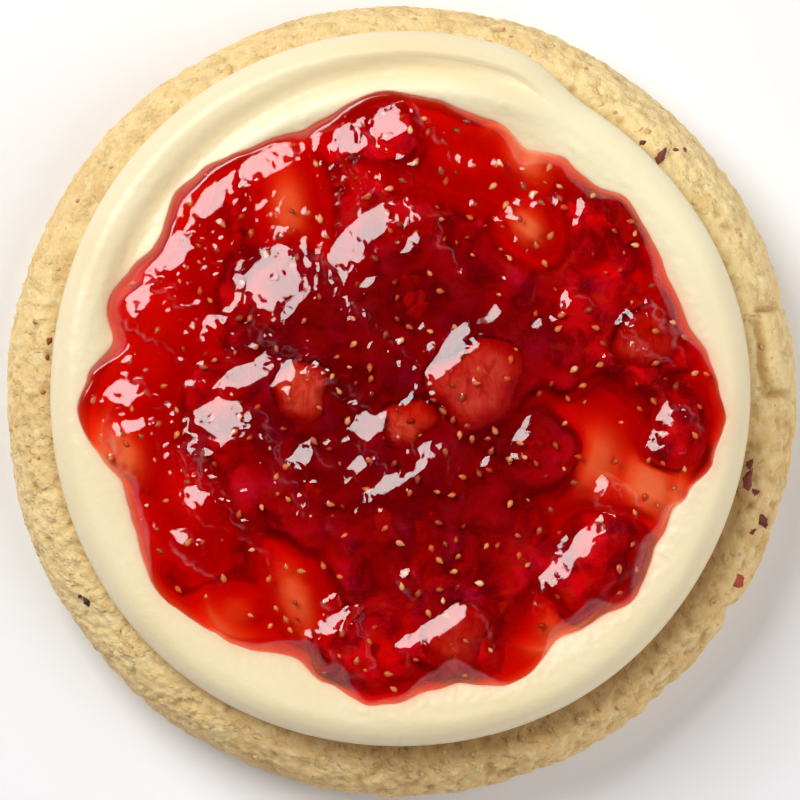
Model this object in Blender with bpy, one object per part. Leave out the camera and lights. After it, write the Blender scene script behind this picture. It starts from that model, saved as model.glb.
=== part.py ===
"""Strawberries and cream cookie: a thick baked cookie, a spread spiral of cream frosting with a
shallow well, strawberry jelly that fills the well, and cut pieces of strawberry set in the jelly.

Metres, +Z up. The origin is on the flat underside, at the middle of the cookie. The frosting's
spiral ends on the +Y side. Run it in Blender 4.5.
"""

import math
import random

import bmesh
import bpy
import numpy as np
from mathutils import Matrix, Vector, noise

MM = 0.001

# ------------------------------------------------------------ driving dimensions, in millimetres
COOKIE_RADIUS = 56.0
COOKIE_HEIGHT = 18.0
COOKIE_CAP_INSET = 9.4  # from the cookie's side in to the flat middle of its top
CRAG_DEPTH = 0.7
CRAG_SIZE = 5.5

LAYER_GAP = 0.3  # kept between two pieces that rest on each other
FROSTING_RADIUS = 48.6
FROSTING_CREST = 25.2  # height of the rope of frosting round the well
FROSTING_FLOOR = 22.0  # height of the well's floor
WELL_FLOOR_RADIUS = 37.0
CREST_INSET = 3.7  # from the frosting's outer edge in to the crest of its rope
NOSE_HEIGHT = 20.6  # height at which the rope stands out furthest
SPIRAL_SWELL = 2.9  # how far the outer turn of the spiral stands out
GROOVE_DEPTH = 1.7  # between the outer turn and the one inside it
GROOVE_WIDTH = 1.4

JELLY_MIDDLE = 27.4
JELLY_LIP = 0.9  # thickness of the jelly's rounded edge
JELLY_CLEARANCE = 0.5  # under the jelly, over the sloping side of the well
COLLAR_RISE = 0.7  # how far jelly is drawn up round each piece of fruit
COLLAR_WIDTH = 2.2

FRUIT_CLEARANCE = 1.2  # from the frosting up to the underside of the fruit
FRUIT_STEPS = 11
FRUIT_SQUARENESS = 2.7
FRUIT_UNEVENNESS = 0.16

SEED_COUNT = 64
SEED_SIZE = (1.6, 1.1, 0.8)
SEED_SPACING = 3.4
SEED_MARGIN = 1.5  # from a seed's middle to the nearest edge of what it lies on
BIT_SIZE = (2.6, 1.8, 1.2)
WELD_DISTANCE = 0.02  # shorter edges than this are closed up after a Boolean
WELD_PASSES = 3
RANDOM_SEED = 12

COOKIE_STEPS = 100
FROSTING_STEPS = 84
JELLY_STEPS = 78

# The cookie's side: (inset from its radius, height), from the underside up to the flat middle.
COOKIE_PROFILE = (
    (3.6, 0.0), (1.5, 1.0), (0.4, 3.4), (0.0, 6.8), (0.2, 9.8), (0.9, 12.4), (2.0, 14.6),
    (3.5, 16.3), (5.3, 17.4), (7.4, 17.8), (COOKIE_CAP_INSET, COOKIE_HEIGHT),
)

# The jelly's wavy edge: (degrees from +X, radius) at each lobe and each hollow between lobes.
JELLY_EDGE = (
    (-178, 43.2), (-159, 39.2), (-142, 41.9), (-127, 40.4), (-109, 38.4), (-97, 41.9),
    (-80, 40.1), (-71, 41.6), (-63, 42.0), (-49, 41.0), (-40, 42.6), (-28, 39.8), (-18, 39.8),
    (-3, 44.3), (14, 41.2), (33, 39.9), (42, 42.1), (56, 39.2), (72, 40.6), (92, 42.6),
    (110, 39.7), (136, 42.4), (146, 40.1), (162, 42.3), (169, 40.1),
)

# Pieces of strawberry: x, y, length, width, height of the top, turn and slant in degrees.
FRUIT = (
    (10.7, 2.6, 13.0, 11.0, 31.4, 38, 12),
    (0.9, -2.8, 8.0, 6.2, 30.2, 30, 8),
    (-13.8, 1.5, 8.4, 7.4, 30.2, 75, 8),
    (-1.2, 15.0, 15.0, 12.0, 31.0, 15, 5),
    (1.6, -14.6, 16.0, 12.0, 31.2, 28, 7),
    (19.4, -7.2, 10.0, 8.0, 30.6, 70, 14),
    (-12.4, -15.0, 9.5, 8.5, 29.6, 50, 5),
    (7.6, -33.0, 10.0, 7.6, 29.2, 55, 14),
    (-6.8, -35.4, 9.0, 7.0, 28.4, 5, 6),
    (27.2, -22.4, 13.0, 9.6, 29.6, 48, 9),
    (33.6, 8.4, 9.0, 8.0, 29.4, 20, 9),
    (23.4, 7.4, 9.5, 7.8, 29.9, 100, 7),
    (27.6, 25.4, 9.5, 7.4, 28.5, 120, 6),
    (38.0, -4.8, 8.0, 6.4, 28.4, 85, 8),
    (-18.6, 15.6, 12.5, 9.6, 29.9, 35, 5),
    (-24.4, -0.6, 11.5, 9.0, 29.5, 60, 6),
    (-2.4, 36.6, 9.0, 6.4, 28.3, 10, 6),
)
# Rings of a piece of fruit from its underside up: (share of its height, share of its half width).
FRUIT_RINGS = ((0.0, 0.76), (0.25, 0.97), (0.62, 1.0), (0.88, 0.8), (1.0, 0.48))

# Dried fruit bits baked into the cookie's rim: degrees from +X, distance from the middle, turn.
RIM_BITS = ((-10.5, 51.4, 60), (-17.5, 53.4, 125), (-28.3, 53.2, 160), (43.0, 51.0, 50))


# ------------------------------------------------------------------------------ shape functions
def smoothstep(low, high, value):
    """0 below low, 1 above high, with an even S between them."""
    t = np.clip((value - low) / (high - low), 0.0, 1.0)
    return t * t * (3 - 2 * t)


def away(angle, middle):
    """Signed degrees from middle to angle, by the shorter way round."""
    return (angle - middle + 180) % 360 - 180


def bell(distance, width):
    return math.exp(-((distance / width) ** 2))


def arc_window(angle, start, end, rise, fall):
    """1 for angles from start up to end, with smooth ends rise and fall degrees long."""
    turned = (angle - start + 90) % 360 - 90
    return smoothstep(0, rise, turned) * (1 - smoothstep(end - start - fall, end - start, turned))


def lumps(x, y, z, size):
    """Smooth noise from about -1 to 1, with lumps of the given size."""
    return noise.noise(Vector((x, y, z)) / size)


def polar(radius, angle, height):
    turn = math.radians(angle)
    return (radius * math.cos(turn), radius * math.sin(turn), height)


def angles(steps):
    return [360 * i / steps for i in range(steps)]


def cookie_edge(angle):
    """The cookie's radius: nearly round, with long flats, a broken block on +X and a small chip."""
    turn = math.radians(angle)
    waves = 0.18 * math.sin(3 * turn + 0.6) + 0.14 * math.sin(5 * turn + 2.0)
    waves += 0.12 * math.sin(11 * turn + 1.0)
    block = 0.35 * arc_window(angle, 14, 40, 4, 24)
    chip = 0.9 * bell(away(angle, -29.2), 2.4)
    return COOKIE_RADIUS + waves + block - chip


def frosting_edge(angle):
    """The frosting's outer radius, with the swell where the spiral's outer turn ends."""
    turn = math.radians(angle)
    waves = 0.25 * math.sin(2 * turn + 0.9) + 0.15 * math.sin(5 * turn + 0.3)
    return FROSTING_RADIUS + waves + SPIRAL_SWELL * arc_window(angle, 57, 178, 16, 64)


def groove_radius(angle):
    """The valley between the spiral's outer turn and the one inside it."""
    return 47.4 - 0.056 * (angle - 64)


def frosting_height(radius, angle):
    """The frosting's top inside its outer edge: a rope round a well, and the spiral's groove."""
    edge = frosting_edge(angle)
    crest = edge - CREST_INSET
    if radius > crest:
        share = min(1.0, (radius - crest) / CREST_INSET)
        return NOSE_HEIGHT + (FROSTING_CREST - NOSE_HEIGHT) * math.sqrt(1 - share * share)
    rope = smoothstep(WELL_FLOOR_RADIUS, FROSTING_RADIUS - CREST_INSET, radius)
    height = FROSTING_FLOOR + (FROSTING_CREST - FROSTING_FLOOR) * rope
    shown = arc_window(angle, 58, 182, 14, 24)
    valley = bell(radius - groove_radius(angle), GROOVE_WIDTH)
    inner_turn = bell(radius - groove_radius(angle) + 2.6, 1.6)
    return height + shown * (0.6 * inner_turn - GROOVE_DEPTH * valley)


def jelly_edge(angle):
    """The jelly's radius, eased from each lobe or hollow of JELLY_EDGE to the next."""
    marks = sorted(JELLY_EDGE)
    marks = [(marks[-1][0] - 360, marks[-1][1]), *marks, (marks[0][0] + 360, marks[0][1])]
    turned = away(angle, 0)
    for (start, first), (end, last) in zip(marks, marks[1:]):
        if start <= turned <= end:
            return first + (last - first) * float(smoothstep(start, end, turned))
    return marks[0][1]


def fruit_reach(piece, x, y):
    """How far a point is outside a piece of fruit, seen from above; negative inside it."""
    px, py, length, width, _, turn, _ = piece
    spun = Matrix.Rotation(-math.radians(turn), 2) @ Vector((x - px, y - py))
    scaled = Vector((2 * spun.x / length, 2 * spun.y / width)).length
    return (scaled - 1) * (length + width) / 4


def jelly_top(radius, angle):
    """The jelly's top: a low dome that falls to its edge and climbs a little round the fruit."""
    edge = jelly_edge(angle)
    share = min(1.0, radius / edge)
    rim = frosting_height(edge, angle) + LAYER_GAP + 0.55 * JELLY_LIP
    dome = rim + (JELLY_MIDDLE - rim) * (1 - share**3)
    round_edge = 0.45 * JELLY_LIP * math.sqrt(max(0.0, 1 - share**12))
    x, y, _ = polar(radius, angle, 0)
    collar = sum(bell(max(0.0, fruit_reach(piece, x, y)), COLLAR_WIDTH) for piece in FRUIT)
    return dome + round_edge + COLLAR_RISE * min(1.0, collar) * (1 - share**6)


# ------------------------------------------------------------------------------- mesh building
def material(name, colour, roughness):
    made = bpy.data.materials.new(name)
    made.use_nodes = True
    shader = made.node_tree.nodes["Principled BSDF"]
    shader.inputs["Base Color"].default_value = (*colour, 1.0)
    shader.inputs["Roughness"].default_value = roughness
    shader.inputs["Metallic"].default_value = 0.0
    return made


def loft(rings):
    """A closed bmesh skinned over rings of points in millimetres, from the underside up and over
    the top. The rings have as many points each, anticlockwise; a flat cap closes each end."""
    shell = bmesh.new()
    loops = [[shell.verts.new(Vector(point) * MM) for point in ring] for ring in rings]
    for lower, upper in zip(loops, loops[1:]):
        for i, corner in enumerate(lower):
            j = (i + 1) % len(lower)
            shell.faces.new((corner, lower[j], upper[j], upper[i]))
    sides = list(shell.faces)
    shell.faces.new(reversed(loops[0]))
    shell.faces.new(loops[-1])
    bmesh.ops.triangulate(shell, faces=sides)
    return shell


def kernel(size, turn, place, normal):
    """A small oval bmesh, such as a seed, that lies on a surface with that normal."""
    shell = bmesh.new()
    bmesh.ops.create_uvsphere(shell, u_segments=5, v_segments=4, radius=0.5)
    lying = Vector((0, 0, 1)).rotation_difference(normal).to_matrix().to_4x4()
    stretch = Matrix.Diagonal((size[0] * MM, size[1] * MM, size[2] * MM, 1))
    pole_along_x = Matrix.Rotation(math.pi / 2, 4, "Y")
    spin = Matrix.Rotation(math.radians(turn), 4, "Z")
    shell.transform(Matrix.Translation(place) @ lying @ spin @ stretch @ pole_along_x)
    return shell


def add_object(name, shell, finish, collection=None):
    mesh = bpy.data.meshes.new(name)
    shell.to_mesh(mesh)
    shell.free()
    mesh.materials.append(finish)
    mesh.shade_smooth()
    mesh.set_sharp_from_angle(angle=math.radians(50))
    obj = bpy.data.objects.new(name, mesh)
    (collection or bpy.context.scene.collection).objects.link(obj)
    return obj


def new_collection(name):
    made = bpy.data.collections.new(name)
    bpy.context.scene.collection.children.link(made)
    return made


def weld(obj):
    """Closes up the tiny edges that a Boolean leaves where two surfaces barely cross."""
    shell = bmesh.new()
    shell.from_mesh(obj.data)
    for _ in range(WELD_PASSES):
        bmesh.ops.triangulate(shell, faces=shell.faces)
        bmesh.ops.remove_doubles(shell, verts=shell.verts, dist=WELD_DISTANCE * MM)
        bmesh.ops.dissolve_degenerate(shell, edges=shell.edges, dist=WELD_DISTANCE * MM)
    bmesh.ops.triangulate(shell, faces=shell.faces)
    shell.to_mesh(obj.data)
    shell.free()


def merge(obj, collection, operation):
    """Joins the collection's objects to obj, or cuts them from it, and then removes them."""
    if collection.objects:
        modifier = obj.modifiers.new("merge", "BOOLEAN")
        modifier.operand_type = "COLLECTION"
        modifier.collection = collection
        modifier.operation = operation
        modifier.solver = "MANIFOLD"
        with bpy.context.temp_override(object=obj, active_object=obj):
            bpy.ops.object.modifier_apply(modifier=modifier.name)
    for tool in list(collection.objects):
        bpy.data.objects.remove(tool)
    bpy.data.collections.remove(collection)
    weld(obj)


def surface_under(obj, x, y):
    """The point of obj straight below (x, y) millimetres and its normal, or None."""
    found, place, normal, _ = obj.ray_cast(Vector((x * MM, y * MM, 1.0)), Vector((0, 0, -1)))
    return (place, normal) if found else None


# ------------------------------------------------------------------------------------- pieces
def make_cookie(finish):
    rings = []
    for inset, height in COOKIE_PROFILE:
        ring = []
        for angle in angles(COOKIE_STEPS):
            radius = cookie_edge(angle) - inset
            x, y, _ = polar(radius, angle, 0)
            free = smoothstep(0.2, 3.0, height) * smoothstep(COOKIE_CAP_INSET - 1, 5.4, inset)
            crag = CRAG_DEPTH * free * lumps(x, y, height, CRAG_SIZE)
            crag += 0.5 * CRAG_DEPTH * free * lumps(x + 40, y, height, CRAG_SIZE / 2)
            block = 0.5 * arc_window(angle, -14, 13, 3, 4) * smoothstep(6.0, 3.5, inset)
            lift = smoothstep(8.0, 16.0, height)
            ring.append(polar(radius + crag * (1 - lift), angle,
                              height + lift * (crag + block * free)))
        rings.append(ring)
    return add_object("cookie", loft(rings), finish)


def make_frosting(finish):
    base = COOKIE_HEIGHT + LAYER_GAP
    # The rope's underside and nose: (inset from the outer edge, height).
    nose = ((1.5, base), (0.4, base + 0.9), (0.0, NOSE_HEIGHT))
    insets = (0.25, 1.0, 2.2, 3.7, 4.8, 5.9, 7.0)
    slope_shares = (0.28, 0.52, 0.76, 1.0)  # of the way from the last of them in to the floor
    rings = [[polar(frosting_edge(a) - inset, a, height) for a in angles(FROSTING_STEPS)]
             for inset, height in nose]
    for inset in insets:
        ring = []
        for angle in angles(FROSTING_STEPS):
            radius = frosting_edge(angle) - inset
            ring.append(polar(radius, angle, frosting_height(radius, angle)))
        rings.append(ring)
    for share in slope_shares:
        ring = []
        for angle in angles(FROSTING_STEPS):
            outer = frosting_edge(angle) - insets[-1]
            radius = outer + share * (WELL_FLOOR_RADIUS - outer)
            ring.append(polar(radius, angle, frosting_height(radius, angle)))
        rings.append(ring)
    rings[-1] = [(x, y, FROSTING_FLOOR) for x, y, _ in rings[-1]]
    return add_object("cream_frosting", loft(rings), finish)


def make_jelly(finish):
    bottom_shares = (0.0, 0.4, 0.75, 0.97)  # of the way from the well's floor out to the jelly's edge
    top_shares = (0.99, 0.955, 0.9, 0.82, 0.73, 0.63, 0.52, 0.4, 0.26, 0.1)
    rings = []
    for share in bottom_shares:
        ring = []
        for angle in angles(JELLY_STEPS):
            inner = WELL_FLOOR_RADIUS - 0.8
            radius = inner + share * (jelly_edge(angle) - inner)
            clearance = LAYER_GAP if share == 0 else JELLY_CLEARANCE
            ring.append(polar(radius, angle, frosting_height(radius, angle) + clearance))
        rings.append(ring)
    rings.append([polar(jelly_edge(a), a, frosting_height(jelly_edge(a), a) + 0.75 * JELLY_LIP)
                  for a in angles(JELLY_STEPS)])
    for share in top_shares:
        rings.append([polar(share * jelly_edge(a), a, jelly_top(share * jelly_edge(a), a))
                      for a in angles(JELLY_STEPS)])
    # The innermost ring closes flat, so that the cap over it is a plane.
    level = sum(point[2] for point in rings[-1]) / JELLY_STEPS
    rings[-1] = [(x, y, level) for x, y, _ in rings[-1]]
    return add_object("strawberry_jelly", loft(rings), finish)


def fruit_rings(piece, index, margin=0.0):
    """Rings of one piece of fruit, or of the pocket that holds it with that margin all round."""
    x, y, length, width, top, turn, slant = piece
    reach = math.hypot(x, y) + 0.45 * length
    base = frosting_height(min(reach, FROSTING_RADIUS - CREST_INSET), 0) + FRUIT_CLEARANCE
    spin = Matrix.Rotation(math.radians(turn), 2)
    rings = []
    for share, girth in FRUIT_RINGS:
        ring = []
        for angle in angles(FRUIT_STEPS):
            turned = math.radians(angle)
            across, along = math.sin(turned), math.cos(turned)
            square = (abs(along) ** FRUIT_SQUARENESS + abs(across) ** FRUIT_SQUARENESS)
            uneven = 1 + FRUIT_UNEVENNESS * lumps(2 * along, 2 * across, 3 * share + 7 * index, 1)
            size = girth * uneven * square ** (-1 / FRUIT_SQUARENESS)
            local = Vector((along * (size * length / 2 + margin), across * (size * width / 2 + margin)))
            height = base + share * (top - base) + share * math.tan(math.radians(slant)) * local.x
            spun = spin @ local
            ring.append((x + spun.x, y + spun.y, height - margin * (share == 0)))
        rings.append(ring)
    if margin:
        rings.append([(px, py, pz + length) for px, py, pz in rings[-1]])
    return rings


def make_fruit(finish):
    return [add_object(f"strawberry_piece_{i + 1:02d}", loft(fruit_rings(piece, i)), finish)
            for i, piece in enumerate(FRUIT)]


def cut_pockets(jelly, finish):
    pockets = new_collection("pockets")
    for i, piece in enumerate(FRUIT):
        add_object(f"pocket_{i}", loft(fruit_rings(piece, i, LAYER_GAP)), finish, pockets)
    merge(jelly, pockets, "DIFFERENCE")


def sow_seeds(jelly, fruit, finish):
    """Spreads seeds over the topping and fuses each one to the piece that it lies on."""
    draw = random.Random(RANDOM_SEED)
    sown = []
    beds = {obj: new_collection(f"seeds_{obj.name}") for obj in (jelly, *fruit)}
    while len(sown) < SEED_COUNT:
        angle = draw.uniform(0, 360)
        radius = jelly_edge(angle) * math.sqrt(draw.random())
        x, y, _ = polar(radius, angle, 0)
        size = [side * draw.uniform(0.85, 1.1) for side in SEED_SIZE]
        turn = draw.uniform(0, 180)
        if radius > jelly_edge(angle) - SEED_MARGIN:
            continue
        if any(math.hypot(x - sx, y - sy) < SEED_SPACING for sx, sy in sown):
            continue
        reaches = [fruit_reach(piece, x, y) for piece in FRUIT]
        nearest = min(range(len(FRUIT)), key=reaches.__getitem__)
        if abs(reaches[nearest]) < SEED_MARGIN:
            continue
        bed = fruit[nearest] if reaches[nearest] < 0 else jelly
        under = surface_under(bed, x, y)
        if under is None:
            continue
        sown.append((x, y))
        add_object(f"seed_{len(sown)}", kernel(size, turn, *under), finish, beds[bed])
    for bed, seeds in beds.items():
        merge(bed, seeds, "UNION")


def bake_in_bits(cookie, finish):
    bits = new_collection("rim_bits")
    for i, (angle, radius, turn) in enumerate(RIM_BITS):
        x, y, _ = polar(radius, angle, 0)
        place, normal = surface_under(cookie, x, y)
        add_object(f"rim_bit_{i}", kernel(BIT_SIZE, turn, place, normal), finish, bits)
    merge(cookie, bits, "UNION")


def main():
    for obj in list(bpy.data.objects):
        bpy.data.objects.remove(obj)
    dough = material("baked_dough", (0.72, 0.52, 0.25), 0.8)
    cream = material("cream", (0.86, 0.76, 0.47), 0.45)
    jelly_red = material("jelly_red", (0.45, 0.005, 0.008), 0.08)
    flesh = material("strawberry_flesh", (0.5, 0.05, 0.03), 0.15)

    cookie = make_cookie(dough)
    bake_in_bits(cookie, flesh)
    make_frosting(cream)
    jelly = make_jelly(jelly_red)
    cut_pockets(jelly, jelly_red)
    fruit = make_fruit(flesh)
    sow_seeds(jelly, fruit, flesh)


main()
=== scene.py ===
"""Looks of a strawberries and cream cookie: baked dough, a spiral of cream frosting, a pool of clear
strawberry jelly with crushed fruit, cut strawberry pieces and seeds. Shapes are worked out in
millimetres and made in metres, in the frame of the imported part.
"""

import itertools
import logging
import math
from dataclasses import dataclass, field
from enum import Enum
from typing import Callable, Iterable, Sequence, Union

import bpy
import numpy as np
from mathutils import Euler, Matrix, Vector


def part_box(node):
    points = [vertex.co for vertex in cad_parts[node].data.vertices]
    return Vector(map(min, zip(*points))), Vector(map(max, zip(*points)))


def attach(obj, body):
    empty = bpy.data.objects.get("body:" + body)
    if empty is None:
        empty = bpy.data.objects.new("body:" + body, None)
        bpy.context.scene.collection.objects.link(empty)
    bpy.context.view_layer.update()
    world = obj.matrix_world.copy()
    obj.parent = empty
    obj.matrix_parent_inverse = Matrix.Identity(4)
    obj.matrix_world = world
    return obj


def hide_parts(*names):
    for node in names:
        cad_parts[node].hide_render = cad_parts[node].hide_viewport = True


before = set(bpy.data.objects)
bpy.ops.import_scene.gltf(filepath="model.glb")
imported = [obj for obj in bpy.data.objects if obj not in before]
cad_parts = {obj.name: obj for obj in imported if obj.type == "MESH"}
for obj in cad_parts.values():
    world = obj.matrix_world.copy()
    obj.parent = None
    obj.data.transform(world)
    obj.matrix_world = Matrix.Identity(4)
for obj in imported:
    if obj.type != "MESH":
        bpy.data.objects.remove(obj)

LOG = logging.getLogger("strawberry_cookie")
MM = 0.001
BODY = "root"
ONE_TURN = 6.28
Array = np.ndarray
Colour = tuple[float, float, float]
Rows = tuple[tuple[float, ...], ...]
Stops = tuple[tuple[float, Colour], ...]


# ---- shape arithmetic
def smoothstep(low: float, high: float, value: Array) -> Array:
    """Values eased from 0 at low to 1 at high."""
    share = np.clip((value - low) / (high - low), 0.0, 1.0)
    return share * share * (3.0 - 2.0 * share)


def bell(distance: Array, width: float) -> Array:
    """A smooth hump of height 1 that falls off over width."""
    return np.exp(-((distance / width) ** 2))


def soft_max(first: Array, second: Array, blend: float) -> Array:
    """The higher of two surfaces, with a fillet that runs over blend where they meet."""
    share = np.clip(0.5 + 0.5 * (second - first) / blend, 0.0, 1.0)
    return first + (second - first) * share + blend * share * (1.0 - share)


def soft_min(first: Array, second: Array, blend: float) -> Array:
    """The lower of two surfaces, with a fillet that runs over blend where they meet."""
    return -soft_max(-first, -second, blend)


def soft_ramp(value: Array, blend: float) -> Array:
    """0 below 0 and the value itself above it, rounded over blend where they meet."""
    return blend * np.logaddexp(0.0, value / blend)


def degrees_from(mark: float, angle: Array) -> Array:
    """Degrees from a mark on round the part's axis, from -180 to 180."""
    return (angle - mark + 180) % 360 - 180


def polar(x: Array, y: Array) -> tuple[Array, Array]:
    """Radius and degrees from +X of points round the part's axis."""
    return np.hypot(x, y), np.degrees(np.arctan2(y, x))


def around(radius: Array, angle: Array) -> tuple[Array, Array]:
    """X and y of points at those radii and degrees from +X."""
    return radius * np.cos(np.radians(angle)), radius * np.sin(np.radians(angle))


def waves(angle: Array, heights: Rows) -> Array:
    """A sum of waves round the part's axis: the height, count and shift of each."""
    return sum(height * np.sin(count * np.radians(angle) + shift) for height, count, shift in heights)


@dataclass(frozen=True)
class Arc:
    """A stretch of degrees round the part's axis, eased over rise where it opens and fall where it ends."""

    start: float
    end: float
    rise: float
    fall: float

    def share(self, angle: Array) -> Array:
        """1 along the stretch, 0 off it."""
        turned, whole = (angle - self.start + 90.0) % 360.0 - 90.0, self.end - self.start
        return smoothstep(0.0, self.rise, turned) * (1.0 - smoothstep(whole - self.fall, whole, turned))


class Turned:
    """A shape whose length is turned from +X by some degrees round its middle."""

    x: float
    y: float
    turn: float

    def local(self, x: Array, y: Array) -> tuple[Array, Array]:
        """Points along the shape's length and across it, from its middle."""
        cos, sin = math.cos(math.radians(self.turn)), math.sin(math.radians(self.turn))
        return (x - self.x) * cos + (y - self.y) * sin, (y - self.y) * cos - (x - self.x) * sin

    def place(self, along: Array, across: Array) -> tuple[Array, Array]:
        """Where points along the shape's length and across it lie on the part."""
        cos, sin = math.cos(math.radians(self.turn)), math.sin(math.radians(self.turn))
        return self.x + along * cos - across * sin, self.y + along * sin + across * cos


@dataclass(frozen=True)
class Ripple:
    """One layer of noise on a surface: its strength, the distance between its lumps and its own level."""

    strength: float
    size: float
    level: float = 0.0


class Grain:
    """Seeded noise on arrays of positions, for lumps, ripples and pits."""

    def __init__(self, seed: int) -> None:
        """Draws the noise's tables.

        Args:
            seed: Start of the random draws.
        """
        draw = np.random.default_rng(seed)
        self._order = np.tile(draw.permutation(256), 2)
        slopes = draw.normal(size=(256, 3))
        self._slopes = slopes / np.linalg.norm(slopes, axis=1, keepdims=True)
        self._jitter = draw.random((256, 3))

    def _pick(self, i: Array, j: Array, k: Array) -> Array:
        """A table entry for each cell of a grid."""
        return self._order[self._order[self._order[i & 255] + (j & 255)] + (k & 255)]

    def smooth(self, x: Array, y: Array, z: Array | float, size: float) -> Array:
        """Rolling noise.

        Args:
            x, y, z: Positions.
            size: Distance from one lump to the next.

        Returns:
            Values from about -1 to 1.
        """
        scaled = [np.asarray(part, dtype=float) / size for part in np.broadcast_arrays(x, y, z)]
        cell = [np.floor(part).astype(int) for part in scaled]
        inside = [part - low for part, low in zip(scaled, cell)]
        ease = [part * part * part * (part * (part * 6 - 15) + 10) for part in inside]
        total = np.zeros(scaled[0].shape)
        for corner in itertools.product((0, 1), repeat=3):
            slope = self._slopes[self._pick(*(low + step for low, step in zip(cell, corner)))]
            lean = sum(slope[..., axis] * (inside[axis] - step) for axis, step in enumerate(corner))
            total += lean * math.prod(part if step else 1 - part for part, step in zip(ease, corner))
        return 1.6 * total

    def layered(self, x: Array, y: Array, z: Array | float, size: float, layers: int = 3) -> Array:
        """Rolling noise with finer layers, each half the size and strength of the one before."""
        return sum(0.5 ** i * self.smooth(x + 31 * i, y, z, size * 0.5 ** i) for i in range(layers))

    def ripples(self, x: Array, y: Array, *layers: Ripple) -> Array:
        """The sum of some layers of rolling noise on a surface."""
        return sum(layer.strength * self.smooth(x, y, layer.level, layer.size) for layer in layers)

    def pits(self, x: Array, y: Array, spacing: float) -> tuple[Array, Array]:
        """Scattered points on a surface.

        Args:
            x, y: Positions.
            spacing: Mean distance between the points.

        Returns:
            The distance to the nearest point, and a random value from 0 to 1 that goes with it.
        """
        u, v = np.asarray(x) / spacing, np.asarray(y) / spacing
        i, j = np.floor(u).astype(int), np.floor(v).astype(int)
        best, chance = np.full(u.shape, 9.0), np.zeros(u.shape)
        for a, b in itertools.product((-1, 0, 1), repeat=2):
            point = self._jitter[self._pick(i + a, j + b, 0 * i)]
            away = np.hypot(i + a + point[..., 0] - u, j + b + point[..., 1] - v)
            chance = np.where(away < best, point[..., 2], chance)
            best = np.minimum(away, best)
        return best * spacing, chance


# ---- mesh building
@dataclass
class Skin:
    """Collects points in millimetres and faces, and turns them into one object."""

    name: str
    _points: list[Array] = field(default_factory=list)
    _faces: list[Array] = field(default_factory=list)
    _values: dict[str, list[Array]] = field(default_factory=dict)

    def points(self, places: Array) -> Array:
        """Adds points.

        Args:
            places: The points, in any layout that ends in three coordinates.

        Returns:
            The points' numbers in the same layout.
        """
        first = sum(map(len, self._points))
        self._points.append(places.reshape(-1, 3))
        return first + np.arange(len(self._points[-1])).reshape(places.shape[:-1])

    def quads(self, rows: Array, wrap: bool) -> None:
        """Covers a grid of point numbers with four-sided faces.

        Args:
            rows: Point numbers, one row after another.
            wrap: True where the last column joins the first.
        """
        after = np.roll(rows, -1, axis=1) if wrap else rows[:, 1:]
        before = rows if wrap else rows[:, :-1]
        faces = np.stack([before[:-1], after[:-1], after[1:], before[1:]], axis=-1)
        self._faces.append(faces.reshape(-1, 4))

    def fan(self, ring: Array, centre: Sequence[float], outward: bool) -> None:
        """Closes a ring of points with three-sided faces round a new middle point.

        Args:
            ring: Point numbers, anticlockwise from above.
            centre: The middle point.
            outward: True where the faces look the way the ring turns, up from above.
        """
        middle = np.full(len(ring), self.points(np.array(centre, dtype=float)))
        after = np.roll(ring, -1)
        faces = [ring, after, middle] if outward else [after, ring, middle]
        self._faces.append(np.stack(faces, axis=-1))

    def value(self, name: str, values: Array) -> None:
        """Keeps one number for each of the last points added, for the finish to read."""
        self._values.setdefault(name, []).append(np.asarray(values, dtype=float).reshape(-1))

    def body(self, rings: Array, values: dict[str, Array]) -> "Skin":
        """Adds a closed body of rings of points, from its underside's middle up and over the top.

        Args:
            rings: Places, shaped (rings, points, 3), anticlockwise from above.
            values: Numbers for the finish, shaped (rings, points).

        Returns:
            The skin itself.
        """
        numbers = self.points(rings)
        self.quads(numbers, wrap=True)
        for end in (0, -1):
            self.fan(numbers[end], rings[end].mean(axis=0), outward=end == -1)
        for name, number in values.items():
            self.value(name, number)
            self.value(name, [np.mean(number[0]), np.mean(number[-1])])
        return self

    def sheet(self, places: Array, under: Sequence[tuple[float, float]],
              values: dict[str, tuple[Array, float]]) -> "Skin":
        """Adds a closed body with a square grid of points on top, as the skin's first body.

        Args:
            places: The top's places, shaped (rows, columns, 3).
            under: Share of the rim's way from the axis and height of each row of points under the rim.
            values: Numbers for the finish: the top's own, and one for all that lies under it.

        Returns:
            The skin itself.
        """
        numbers = self.points(places)
        self.quads(numbers, wrap=False)
        rim = np.concatenate([numbers[0, :-1], numbers[:-1, -1], numbers[-1, :0:-1], numbers[:0:-1, 0]])
        flat = places.reshape(-1, 3)[rim, :2]
        rows = self.points(np.array([np.column_stack([flat * share, np.full(len(rim), level)])
                                     for share, level in under]))
        self.quads(np.concatenate([rows[::-1], rim[None]]), wrap=True)
        self.fan(rows[-1], (0, 0, under[-1][1]), outward=False)
        for name, (top, below) in values.items():
            self.value(name, top)
            self.value(name, np.full(rows.size + 1, below))
        return self

    def build(self, finish: bpy.types.Material) -> bpy.types.Object:
        """Makes the object.

        Args:
            finish: Its material.

        Returns:
            The new object, shaded smooth.
        """
        mesh = bpy.data.meshes.new(self.name)
        faces = [face for block in self._faces for face in block.tolist()]
        mesh.from_pydata(np.concatenate(self._points) * MM, [], faces)
        for name, parts in self._values.items():
            layer = mesh.attributes.new(name, "FLOAT", "POINT")
            layer.data.foreach_set("value", np.concatenate(parts).astype(np.float32))
        mesh.shade_smooth()
        mesh.materials.append(finish)
        made = bpy.data.objects.new(self.name, mesh)
        bpy.context.scene.collection.objects.link(made)
        return made


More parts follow.
